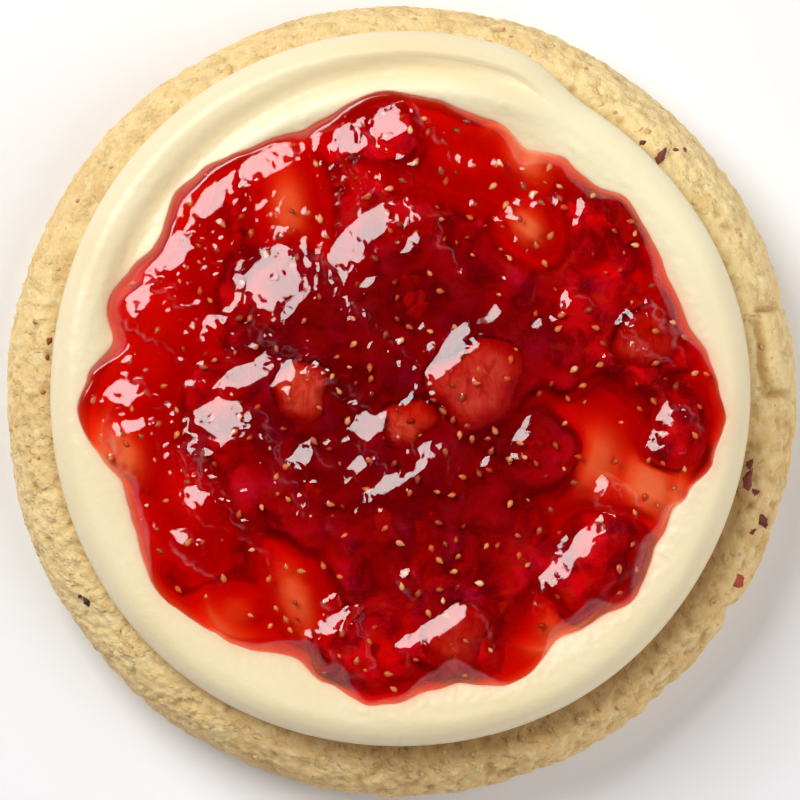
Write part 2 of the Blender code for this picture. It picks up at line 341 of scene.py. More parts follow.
# ---- shader writing
def make_operator(operation: str, reflected: bool = False) -> Callable[["Value", "Number"], "Value"]:
    """Makes an operator of values that adds one Math node.

    Args:
        operation: What the node does.
        reflected: True where the value is the second operand.

    Returns:
        The operator.
    """
    def apply(value: "Value", other: "Number") -> "Value":
        """The node's result."""
        operands = (other, value) if reflected else (value, other)
        return value.shade.node("ShaderNodeMath", {"operation": operation}, dict(enumerate(operands)))
    return apply


@dataclass(frozen=True)
class Value:
    """A shader socket that Python's operators turn into Math nodes."""

    shade: "Shade"
    socket: bpy.types.NodeSocket

    __add__ = make_operator("ADD")
    __radd__ = make_operator("ADD", reflected=True)
    __sub__ = make_operator("SUBTRACT")
    __rsub__ = make_operator("SUBTRACT", reflected=True)
    __mul__ = make_operator("MULTIPLY")
    __rmul__ = make_operator("MULTIPLY", reflected=True)

    def step(self, low: float, high: float) -> "Value":
        """Eases from 0 at low to 1 at high."""
        return self.shade.node("ShaderNodeMapRange", {"interpolation_type": "SMOOTHSTEP"},
                               {"Value": self, "From Min": low, "From Max": high})


Number = Union[Value, float]


class Shade:
    """The nodes of one material or of the world."""

    def __init__(self, owner: bpy.types.Material | bpy.types.World) -> None:
        """Clears the nodes.

        Args:
            owner: The material or world that the nodes dress.
        """
        self.owner = owner
        owner.use_nodes = True
        self.tree = owner.node_tree
        self.tree.nodes.clear()

    def add(self, kind: str, settings: dict | None = None, sockets: dict | None = None) -> bpy.types.Node:
        """Adds a node.

        Args:
            kind: The node's Blender type.
            settings: The node's own settings, set first.
            sockets: Values or links for its inputs, by number or name.

        Returns:
            The new node.
        """
        made = self.tree.nodes.new(kind)
        for key, setting in (settings or {}).items():
            setattr(made, key, setting)
        for key, given in (sockets or {}).items():
            if isinstance(given, Value):
                self.tree.links.new(given.socket, made.inputs[key])
            elif made.inputs[key].type == "RGBA":
                made.inputs[key].default_value = (*given, 1.0)
            else:
                made.inputs[key].default_value = given
        return made

    def node(self, kind: str, settings: dict | None = None, sockets: dict | None = None,
             out: int | str = 0) -> Value:
        """Adds a node in the way that add does, and gives its output of that number or name."""
        return Value(self, self.add(kind, settings, sockets).outputs[out])

    def noise(self, size: float, detail: float = 3.0, rough: float = 0.5, warp: float = 0.0,
              stretch: Sequence[float] = (1.0, 1.0, 1.0)) -> Value:
        """Fractal noise in space.

        Args:
            size: Millimetres from one lump to the next.
            detail: Number of finer layers.
            rough: Strength of each finer layer.
            warp: Distortion.
            stretch: Scale along each axis.

        Returns:
            Values round 0.5.
        """
        place = self.node("ShaderNodeTexCoord", out="Object")
        place = self.node("ShaderNodeMapping", {}, {"Vector": place, "Scale": tuple(stretch)})
        sockets = {"Vector": place, "Scale": 1.0 / (size * MM), "Detail": detail, "Roughness": rough,
                   "Distortion": warp}
        return self.node("ShaderNodeTexNoise", {}, sockets)

    def cells(self, size: float) -> Value:
        """Distance to scattered points, in cells of that many millimetres."""
        sockets = {"Vector": self.node("ShaderNodeTexCoord", out="Object"), "Scale": 1.0 / (size * MM)}
        return self.node("ShaderNodeTexVoronoi", {}, sockets, "Distance")

    def kept(self, name: str) -> Value:
        """A number kept on the mesh."""
        return self.node("ShaderNodeAttribute", {"attribute_name": name}, {}, "Fac")

    def ramp(self, factor: Value, stops: Stops) -> Value:
        """A colour that runs through some stops.

        Args:
            factor: The place between the stops, from 0 to 1.
            stops: Places and their colours.

        Returns:
            The colour.
        """
        made = self.add("ShaderNodeValToRGB", {}, {"Fac": factor})
        stop = made.color_ramp.elements
        while len(stop) < len(stops):
            stop.new(1.0)
        for number, (place, colour) in enumerate(stops):
            stop[number].position, stop[number].color = place, (*colour, 1.0)
        return Value(self, made.outputs[0])

    def coats(self, colour: Union[Value, Colour], *coats: tuple[Number, Colour]) -> Value:
        """Lays colours over a first one.

        Args:
            colour: The colour underneath.
            coats: The share and colour of each coat, from the lowest up.

        Returns:
            The mixed colour.
        """
        for share, coat in coats:
            colour = self.node("ShaderNodeMix", {"data_type": "RGBA"}, {0: share, 6: colour, 7: coat}, 2)
        return colour

    def bump(self, height: Value, depth: float, normal: Value | None = None) -> Value:
        """A normal that shows a height.

        Args:
            height: The relief, from 0 to 1.
            depth: Millimetres from 0 to 1.
            normal: A normal to add it to.

        Returns:
            The new normal.
        """
        sockets = {"Height": height, "Distance": depth * MM, "Strength": 1.0}
        if normal is not None:
            sockets["Normal"] = normal
        return self.node("ShaderNodeBump", {}, sockets)

    def surface(self, colour: Union[Value, Colour], roughness: Number, normal: Value | None = None,
                others: dict | None = None, volume: Value | None = None) -> bpy.types.Material:
        """Ends the material with a Principled shader.

        Args:
            colour, roughness, normal: Values or links for these inputs of the shader.
            others: Values or links for its other inputs, by name.
            volume: What fills the piece; light then goes straight on through its surface to what
                lies inside.

        Returns:
            The finished material.
        """
        sockets = {"Base Color": colour, "Roughness": roughness, **(others or {})}
        if normal is not None:
            sockets["Normal"] = normal
        ends = {"Surface": self.node("ShaderNodeBsdfPrincipled", {}, sockets)}
        if volume is not None:
            shadow, diffuse = (self.node("ShaderNodeLightPath", out=f"Is {kind} Ray")
                               for kind in ("Shadow", "Diffuse"))
            through = self.node("ShaderNodeMath", {"operation": "MAXIMUM"}, {0: shadow, 1: diffuse})
            mixed = {0: through, 1: ends["Surface"], 2: self.node("ShaderNodeBsdfTransparent")}
            ends = {"Surface": self.node("ShaderNodeMixShader", {}, mixed), "Volume": volume}
        self.add("ShaderNodeOutputMaterial", {}, ends)
        return self.owner


def new_shade(name: str) -> Shade:
    """Starts a material of that name."""
    return Shade(bpy.data.materials.new(name))


# ---- finishes
@dataclass(frozen=True)
class DoughFinish:
    """Pale baked dough with a fine grain, with painted shade in hollows and painted light and shade by side.
    """

    pale: Colour = (0.94, 0.71, 0.325)
    toasted: Colour = (0.72, 0.45, 0.16)
    # painted shade in cracks, pits and hollows
    hollow_shade: Colour = (0.50, 0.29, 0.09)
    # painted shade on the side away from the window light, over a random baked tone
    baked_and_shaded: Colour = (0.83, 0.52, 0.20)
    # painted light on the sides that face the fill light
    lit_side: Colour = (0.92, 0.71, 0.33)
    # painted shadow of the cream on the dough round its foot
    cream_shadow: Colour = (0.36, 0.19, 0.06)
    flour: Colour = (0.98, 0.82, 0.45)
    freckle: Colour = (0.30, 0.17, 0.06)
    roughness: float = 0.78
    shine: float = 0.3

    def material(self) -> bpy.types.Material:
        """Makes the finish.

        Returns:
            The material.
        """
        shade = new_shade("baked_dough")
        patches = shade.noise(9.0, 2.0).step(0.35, 0.68)
        grain = shade.noise(0.9, 3.0, 0.65)
        crust = shade.noise(2.6, 3.0, 0.65).step(0.50, 0.66)
        specks = shade.noise(1.8, 3.0, 0.65, 0.3).step(0.50, 0.62)
        freckles = 1.0 - shade.cells(3.1).step(0.05, 0.12)
        colour = shade.coats(self.pale, (patches * 0.35 + grain.step(0.35, 0.7) * 0.35, self.toasted),
                             (shade.kept("lit_side"), self.lit_side), (shade.kept("baked_and_shaded"), self.baked_and_shaded),
                             (crust * 0.50, self.toasted), (specks * 0.45, self.flour),
                             (shade.kept("hollow_shade"), self.hollow_shade), (shade.kept("cream_shadow"), self.cream_shadow),
                             (freckles * 0.45, self.freckle))
        relief = shade.bump(crust, 0.18, shade.bump(grain, 0.34))
        return shade.surface(colour, self.roughness, relief, {"Specular IOR Level": self.shine})


@dataclass(frozen=True)
class CreamFinish:
    """Satin cream frosting, stained pink by the jelly, painted shade by its groove, painted light on its
    inner turn.
    """

    cream: Colour = (0.90, 0.775, 0.49)
    # random warm drift, and painted shade along the groove
    warm_and_groove_shade: Colour = (0.88, 0.71, 0.40)
    stain: Colour = (0.90, 0.48, 0.36)
    # painted light: paler cream where the jelly covers it, which is also rougher
    bathed_and_lit: Colour = (0.98, 0.86, 0.58)
    # painted light on the inner turn, and paler cream on the upper right side
    pale: Colour = (0.98, 0.91, 0.59)
    roughness: float = 0.28

    def material(self) -> bpy.types.Material:
        """Makes the finish.

        Returns:
            The material.
        """
        shade = new_shade("cream_frosting")
        drift = shade.noise(16.0, 1.0).step(0.3, 0.75)
        colour = shade.coats(self.cream, (drift * 0.6, self.warm_and_groove_shade), (shade.kept("warm_and_groove_shade"), self.warm_and_groove_shade),
                             (shade.kept("pale"), self.pale), (shade.kept("stain"), self.stain),
                             (shade.kept("bathed_and_lit"), self.bathed_and_lit))
        fine = shade.noise(1.3, 2.0, 0.6)
        roughness = shade.kept("bathed_and_lit") * 0.6 + fine * 0.16 + self.roughness
        return shade.surface(colour, roughness, shade.bump(fine, 0.09))


@dataclass(frozen=True)
class JellyFinish:
    """Clear wet strawberry jelly that takes more green and blue from light the deeper it goes."""

    clear: Colour = (0.94, 0.31, 0.03)
    strength: float = 1250.0
    bend: float = 1.33
    roughness: float = 0.02

    def material(self) -> bpy.types.Material:
        """Makes the finish.

        Returns:
            The material.
        """
        shade = new_shade("clear_strawberry_jelly")
        depth = shade.node("ShaderNodeVolumeAbsorption", {}, {"Color": self.clear, "Density": self.strength})
        ripples = shade.bump(shade.noise(0.55, 2.0), 0.035)
        wet = {"IOR": self.bend, "Transmission Weight": 1.0, "Coat Weight": 1.0,
               "Coat Roughness": self.roughness}
        return shade.surface((1.0, 1.0, 1.0), self.roughness, ripples, wet, depth)


@dataclass(frozen=True)
class PulpFinish:
    """Crushed strawberry, mottled from deep crimson to bright red, painted lighter where it lies deep."""

    deep: Colour = (0.24, 0.001, 0.030)
    bright: Colour = (0.82, 0.010, 0.060)
    thread: Colour = (0.82, 0.06, 0.05)
    rust: Colour = (0.62, 0.07, 0.03)
    # painted light: brighter red where the pulp lies deep under the jelly
    lit: Colour = (0.90, 0.010, 0.012)
    deepest: Colour = (0.15, 0.001, 0.024)
    roughness: float = 0.6

    def material(self) -> bpy.types.Material:
        """Makes the finish.

        Returns:
            The material.
        """
        shade = new_shade("strawberry_pulp")
        mottle = shade.noise(5.5, 3.0, 0.55, 0.6)
        threads = shade.noise(0.9, 2.0, 0.6, 1.5)
        bits = shade.noise(3.4, 2.0, 0.5, 0.8).step(0.56, 0.68)
        colour = shade.coats(self.deep, (mottle.step(0.34, 0.66), self.bright),
                             (threads.step(0.52, 0.78) * 0.4, self.thread), (bits * 0.6, self.rust),
                             (shade.kept("middle") * 0.8, self.deepest), (shade.kept("lit_when_deep"), self.lit))
        return shade.surface(colour, self.roughness, shade.bump(threads, 0.15), {"Specular IOR Level": 0.0})


class Cut(Enum):
    """Which side of a cut strawberry lies uppermost."""

    HEART = "heart"
    FLESH = "flesh"
    SKIN = "skin"


@dataclass(frozen=True)
class FruitFinish:
    """Strawberry flesh with pale threads, or its red skin."""

    cut: Cut
    tones: tuple[tuple[Cut, Colour, Colour], ...] = (
        (Cut.HEART, (0.74, 0.36, 0.30), (0.56, 0.10, 0.10)),
        (Cut.FLESH, (0.62, 0.13, 0.11), (0.46, 0.03, 0.04)),
        (Cut.SKIN, (0.46, 0.02, 0.05), (0.24, 0.002, 0.020)),
    )
    edge: Colour = (0.46, 0.006, 0.020)
    roughness: float = 0.45

    def material(self) -> bpy.types.Material:
        """Makes the finish.

        Returns:
            The material.
        """
        shade = new_shade(f"strawberry_{self.cut.value}")
        pale, red = next((first, last) for cut, first, last in self.tones if cut is self.cut)
        threads = shade.noise(1.4, 3.0, 0.6, 0.8, (1.0, 0.5, 1.0))
        colour = shade.coats(pale, (threads.step(0.3, 0.7), red), (shade.kept("edge") * 0.85, self.edge))
        return shade.surface(colour, self.roughness, shade.bump(threads, 0.25), {"Specular IOR Level": 0.0})


@dataclass(frozen=True)
class SpeckFinish:
    """Small hard things whose colour runs through some tones: each one keeps its own place on them."""

    name: str
    roughness: float
    grain: float
    layers: float
    depth: float
    tones: Stops

    def material(self) -> bpy.types.Material:
        """Makes the finish.

        Returns:
            The material.
        """
        shade = new_shade(self.name)
        relief = shade.bump(shade.noise(self.grain, self.layers), self.depth)
        return shade.surface(shade.ramp(shade.kept("tone"), self.tones), self.roughness, relief)


SEED_FINISH = SpeckFinish("strawberry_seed", roughness=0.3, grain=0.3, layers=2.0, depth=0.04, tones=(
    (0.0, (0.28, 0.035, 0.015)), (0.45, (0.58, 0.13, 0.04)),
    (0.85, (0.80, 0.36, 0.12)), (1.0, (0.90, 0.62, 0.34)),
))
BIT_FINISH = SpeckFinish("baked_bit", roughness=0.6, grain=0.5, layers=3.0, depth=0.15, tones=(
    (0.0, (0.05, 0.022, 0.012)), (0.35, (0.20, 0.045, 0.024)),
    (0.65, (0.50, 0.08, 0.04)), (1.0, (0.70, 0.48, 0.22)),
))


@dataclass(frozen=True)
class TableFinish:
    """A plain pale table top."""

    colour: Colour = (0.93, 0.93, 0.93)
    roughness: float = 0.6

    def material(self) -> bpy.types.Material:
        """Makes the finish."""
        return new_shade("pale_table").surface(self.colour, self.roughness)


# ---- the cookie
@dataclass
class CookieBase:
    """The thick baked cookie under the topping. Its profile is given as insets and heights."""

    radius: float = 55.65
    height: float = 18.0
    steps: int = 1080
    side_rings: int = 78
    side_spread: float = 0.7
    cap_rings: int = 12
    curve_steps: int = 600
    corner_steps: int = 30
    covered_radius: float = 45.0
    profile: Rows = (
        (3.6, 0.0), (1.5, 1.0), (0.4, 3.4), (0.0, 6.8), (0.2, 9.8), (0.9, 12.4), (2.0, 14.6),
        (3.5, 16.3), (5.3, 17.4), (7.4, 17.8), (9.4, 18.0),
    )
    widest_mark: int = 3
    out_of_round: Rows = ((0.12, 3, 0.6), (0.08, 5, 2.0), (0.10, 11, 1.0))
    bulge: Arc = Arc(14, 40, 4, 24)
    bulge_depth: float = 0.35
    chip_angle: float = -32.8
    chip_depth: float = 0.8
    chip_width: float = 1.5
    lump_size: float = 5.5
    lump_depth: float = 0.26
    crumb_size: float = 2.4
    crumb_depth: float = 0.18
    grain_size: float = 1.2
    grain_depth: float = 0.28
    blob_size: float = 3.0
    rough_depth: float = 0.32
    pit_gap: float = 4.2
    pit_width: float = 0.55
    pit_depth: float = 0.45
    pitted_share: float = 0.45
    crack_depth: float = 0.9
    proudest: float = 0.36
    proudest_on_top: float = 0.7
    relief_blend: float = 0.4
    relief_radii: tuple[float, float] = (46.5, 48.5)
    rough_side: Arc = Arc(-118, 4, 30, 14)
    block: Arc = Arc(0.7, 14, 0.8, 0.8)
    block_back: Arc = Arc(0, 14, 2, 2)
    block_radius: float = 51.0
    block_proud: float = 0.5
    block_heights: tuple[float, float] = (12.0, 16.0)
    shaded: Arc = Arc(-150, 2, 60, 10)
    # painted shadow of the cream, strongest on the side away from the window light
    cream_shadow_side: Arc = Arc(-128, 0, 40, 12)
    # painted light: paler dough on the sides that face the fill light
    lit_sides: tuple[tuple[float, Arc], ...] = ((0.85, Arc(-2, 84, 6, 40)), (0.6, Arc(-172, -128, 12, 8)))
    grain: Grain = field(default_factory=lambda: Grain(7))

    def edge(self, angle: Array) -> Array:
        """The cookie's outline: nearly round, with a bulge and a chip.

        Args:
            angle: Degrees round the axis.

        Returns:
            The radius there.
        """
        chip = self.chip_depth * bell(degrees_from(self.chip_angle, angle), self.chip_width)
        bulge = self.bulge_depth * self.bulge.share(angle)
        return self.radius + waves(angle, self.out_of_round) + bulge - chip

    def top_height(self, radius: float) -> float:
        """Height of the smooth crust at that distance from the axis."""
        marks = np.array(self.profile)[self.widest_mark:]
        return float(np.interp(self.radius - radius, marks[:, 0], marks[:, 1]))

    def _side(self) -> list[Array]:
        """Rounds the corners of the profile.

        Returns:
            The insets and the heights of the rings from the underside to the flat middle.
        """
        marks = np.array(self.profile)
        way = np.concatenate([[0], np.cumsum(np.hypot(*np.diff(marks, axis=0).T))])
        fine = way[-1] * np.linspace(0, 1, self.side_rings) ** self.side_spread
        soft = np.linspace(0, way[-1], self.curve_steps)
        reach = self.corner_steps
        kernel = np.hanning(2 * reach + 1) / reach
        curves = []
        for column in (0, 1):
            line = np.interp(soft, way, marks[:, column])
            before, after = 2 * line[0] - line[reach:0:-1], 2 * line[-1] - line[-2:-2 - reach:-1]
            smoothed = np.convolve(np.concatenate([before, line, after]), kernel, "valid")
            curves.append(np.interp(fine, soft, smoothed))
        return curves

    def _broken_block(self, x: Array, y: Array, z: Array, angle: Array, radius: Array) -> tuple[Array, Array]:
        """The block that has cracked away from the rim.

        Args:
            x, y, z: Positions.
            angle, radius: Degrees round the axis and distance from it.

        Returns:
            How far the block stands out, and the share of each point in a crack round it.
        """
        wobble = 0.5 * self.grain.smooth(x, y, z + 20, 3.0)
        rim = smoothstep(self.block_radius - 0.5, self.block_radius + 1.0, radius)
        cracks = bell(radius - self.block_radius + wobble, 0.6) * self.block_back.share(angle)
        for mark, width in ((self.block.end, 0.55), (self.block.start, 0.5)):
            across = radius * np.radians(degrees_from(mark, angle)) + wobble
            cracks = np.maximum(cracks, bell(across, width) * rim)
        raised = smoothstep(self.block_radius - 0.4, self.block_radius + 0.6, radius)
        block = self.block_proud * self.block.share(angle) * raised * smoothstep(*self.block_heights, z)
        return block, cracks * smoothstep(11.0, 15.0, z)

    def relief(self, x: Array, y: Array, z: Array, angle: Array, radius: Array) -> tuple[Array, Array]:
        """How far the crust stands out of its smooth form.

        Args:
            x, y, z: Positions.
            angle, radius: Degrees round the axis and distance from it.

        Returns:
            The relief in millimetres, and the share of painted shade in cracks, pits and valleys, from 0 to
            1.
        """
        grain = self.grain
        crumb = grain.smooth(x + 40, y, z, self.crumb_size)
        finer = grain.layered(x, y + 60, z, self.grain_size, 2)
        rough = self.rough_side.share(angle)
        blobs = soft_max(grain.smooth(x, y + 20, z, self.blob_size), -0.15, 0.3)
        lumps = self.lump_depth * grain.smooth(x, y, z, self.lump_size) + self.crumb_depth * crumb
        lumps = lumps + self.rough_depth * rough * (crumb + 1.2 * blobs) + self.grain_depth * finer
        valley = smoothstep(0.1, 0.8, -crumb - 0.6 * finer - 0.5 * rough * blobs) * (0.45 + 0.9 * rough)
        hole, chance = grain.pits(x + 0.3 * z, y - 0.3 * z, self.pit_gap)
        pit = bell(hole, self.pit_width) * (chance > 1.0 - self.pitted_share)
        block, cracks = self._broken_block(x, y, z, angle, radius)
        # painted shade: darker in cracks, pits and the valleys between crumbs
        hollow_shade = np.clip(0.55 * pit + 0.8 * cracks + 0.5 * valley, 0, 1)
        return lumps + block - self.pit_depth * pit - self.crack_depth * cracks, hollow_shade

    def _tones(self, x: Array, y: Array, rise: Array, angle: Array) -> dict[str, Array]:
        """Numbers for the finish.

        Args:
            x, y, rise: Positions.
            angle: Degrees round the axis.

        Returns:
            Shares of painted shade by side with baked tone, of painted light by side and of painted cream
            shadow.
        """
        near = np.hypot(x, y) + 0.5 * self.grain.smooth(x, y, rise + 90, 2.4)
        # painted shadow of the cream on the dough round its foot
        cream_shadow = np.maximum(0.8 * smoothstep(53.2, 49.2, near) * self.cream_shadow_side.share(angle),
                          0.35 * smoothstep(50.2, 48.6, near))
        # painted shade on the side away from the window light, plus random baked tone
        baked_and_shaded = 0.45 * self.shaded.share(angle) + 0.2 * self.grain.smooth(x, y, rise + 70, 7.0)
        # painted light on the sides that face the fill light
        lit_side = sum(share * side.share(angle) for share, side in self.lit_sides)
        return {"baked_and_shaded": np.clip(baked_and_shaded, 0, 1), "lit_side": lit_side, "cream_shadow": cream_shadow}

    def build(self) -> bpy.types.Object:
        """Makes the cookie.

        Returns:
            The cookie, which stands for its CAD node.
        """
        angle = np.linspace(0, 360, self.steps, endpoint=False)
        inset, height = self._side()
        radius = self.edge(angle) - inset[:, None]
        shrink = np.linspace(0, 1, self.cap_rings + 1)[1:, None]
        radius = np.concatenate([radius, radius[-1] + (self.covered_radius - radius[-1]) * shrink])
        rise = np.concatenate([height, np.full(self.cap_rings, self.height)])[:, None] + 0 * radius
        angle = angle + 0 * radius
        x, y = around(radius, angle)
        relief, hollow_shade = self.relief(x, y, rise, angle, radius)
        slope_r, slope_z = np.gradient(radius, axis=0), np.gradient(rise, axis=0)
        length = np.hypot(slope_r, slope_z) + 1e-9
        out, up = slope_z / length, -slope_r / length
        proudest = self.proudest + self.proudest_on_top * np.maximum(up, 0.0)
        relief = soft_min(relief, proudest, self.relief_blend)
        relief = relief * smoothstep(0.0, 2.5, rise) * smoothstep(*self.relief_radii, radius)
        radius, rise = radius + out * relief, np.maximum(rise + up * relief, 0.0)
        values = {"hollow_shade": hollow_shade, **self._tones(x, y, rise, angle)}
        skin = Skin("baked_cookie").body(np.stack([*around(radius, angle), rise], axis=-1), values)
        made = skin.build(DoughFinish().material())
        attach(made, BODY)
        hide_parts("cookie")
        return made


def pod(slices: int = 8, sides: int = 10) -> Array:
    """A small body one unit long with one end more pointed.

    Args:
        slices: Number of rings.
        sides: Points round each ring.

    Returns:
        The rings' points.
    """
    along = np.linspace(-0.46, 0.46, slices)[:, None]
    girth = np.sqrt(1 - (along / 0.5) ** 2) * (1 - 0.55 * smoothstep(-0.1, 0.5, along)) * 0.5
    turn = np.linspace(0, 2 * math.pi, sides, endpoint=False)
    return np.stack([along + 0 * turn, girth * np.cos(turn), girth * np.sin(turn)], axis=-1)


@dataclass
class BakedBits:
    """Dark dried fruit and crumbs in the crust: x, y, length, width, turn and tone of each."""

    cookie: CookieBase
    bits: Rows = (
        (48.9, -8.8, 2.0, 1.4, 60, 0.33), (48.5, -11.4, 4.0, 2.2, 70, 0.38),
        (49.4, -13.0, 2.0, 1.4, 20, 0.33), (50.6, -16.6, 3.0, 1.5, 125, 0.33),
        (49.2, -18.5, 1.6, 1.1, 30, 0.33), (36.4, 33.9, 3.2, 1.6, 60, 0.28),
        (34.0, 36.0, 1.1, 0.8, 20, 0.28), (47.0, -25.2, 2.7, 2.1, 150, 0.66),
        (-43.9, -28.1, 1.6, 1.1, 120, 0.0), (-44.6, -27.4, 1.0, 0.8, 30, 0.0),
        (-40.2, -33.9, 0.5, 0.4, 0, 0.0), (1.7, -49.8, 1.2, 0.8, 0, 0.2),
        (-48.9, 8.3, 1.3, 1.0, 40, 0.45), (-49.3, 6.0, 0.9, 0.7, 80, 0.45),
        (38.6, 35.0, 0.9, 0.6, 0, 0.4),
    )
    crumbs: int = 70
    crumb_radii: tuple[float, float] = (49.6, 54.0)
    crumb_sizes: tuple[float, float] = (0.45, 1.0)
    crumb_tones: tuple[float, ...] = (1.0, 0.85, 0.4)
    crumb_shares: tuple[float, ...] = (0.66, 0.30, 0.04)
    sinking: float = 0.16
    knobbly: float = 0.16
    flatness: float = 0.8
    lean: float = 0.2
    draws: int = 14

    def build(self) -> bpy.types.Object:
        """Makes the bits and some loose crumbs as one joined mesh.

        Returns:
            The bits.
        """
        draw = np.random.default_rng(self.draws)
        skin = Skin("baked_bits")
        shape = pod(8, 12)
        spots = list(self.bits)
        for _ in range(self.crumbs):
            turn, radius = draw.uniform(0, 2 * math.pi), draw.uniform(*self.crumb_radii)
            size = draw.uniform(*self.crumb_sizes)
            spots.append((*around(radius, math.degrees(turn)), size, size * draw.uniform(0.6, 0.9),
                          draw.uniform(0, 360), draw.choice(self.crumb_tones, p=self.crumb_shares)))
        for x, y, length, width, turn, tone in spots:
            level = self.cookie.top_height(math.hypot(x, y)) - self.sinking * width
            turns = draw.uniform(0, ONE_TURN), draw.uniform(-self.lean, self.lean), math.radians(turn)
            spin = Euler(turns).to_matrix()
            knobs = 1 + self.knobbly * draw.standard_normal(shape.shape[:2])[..., None].clip(-1.2, 1.2)
            places = shape * knobs * (length, width, width * self.flatness) @ np.array(spin).T + (x, y, level)
            skin.body(places, {"tone": np.full(places.shape[:2], tone)})
        made = skin.build(BIT_FINISH.material())
        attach(made, BODY)
        return made


# ---- the frosting
@dataclass(frozen=True)
class Window(Turned):
    """A place where the cream comes up to a film's depth under the jelly and shows through it."""

    x: float
    y: float
    length: float
    width: float
    turn: float
    film: float
    sinking: float = 4.5

    def reach(self, x: Array, y: Array) -> Array:
        """Distance from the window's middle at each point, 1 at its edge."""
        along, across = self.local(x, y)
        return np.hypot(along * 2 / self.length, across * 2 / self.width)

    def depth(self, x: Array, y: Array) -> Array:
        """How far the cream lies under the jelly's top at each point."""
        return self.film + self.sinking * smoothstep(0.25, 2.4, self.reach(x, y))


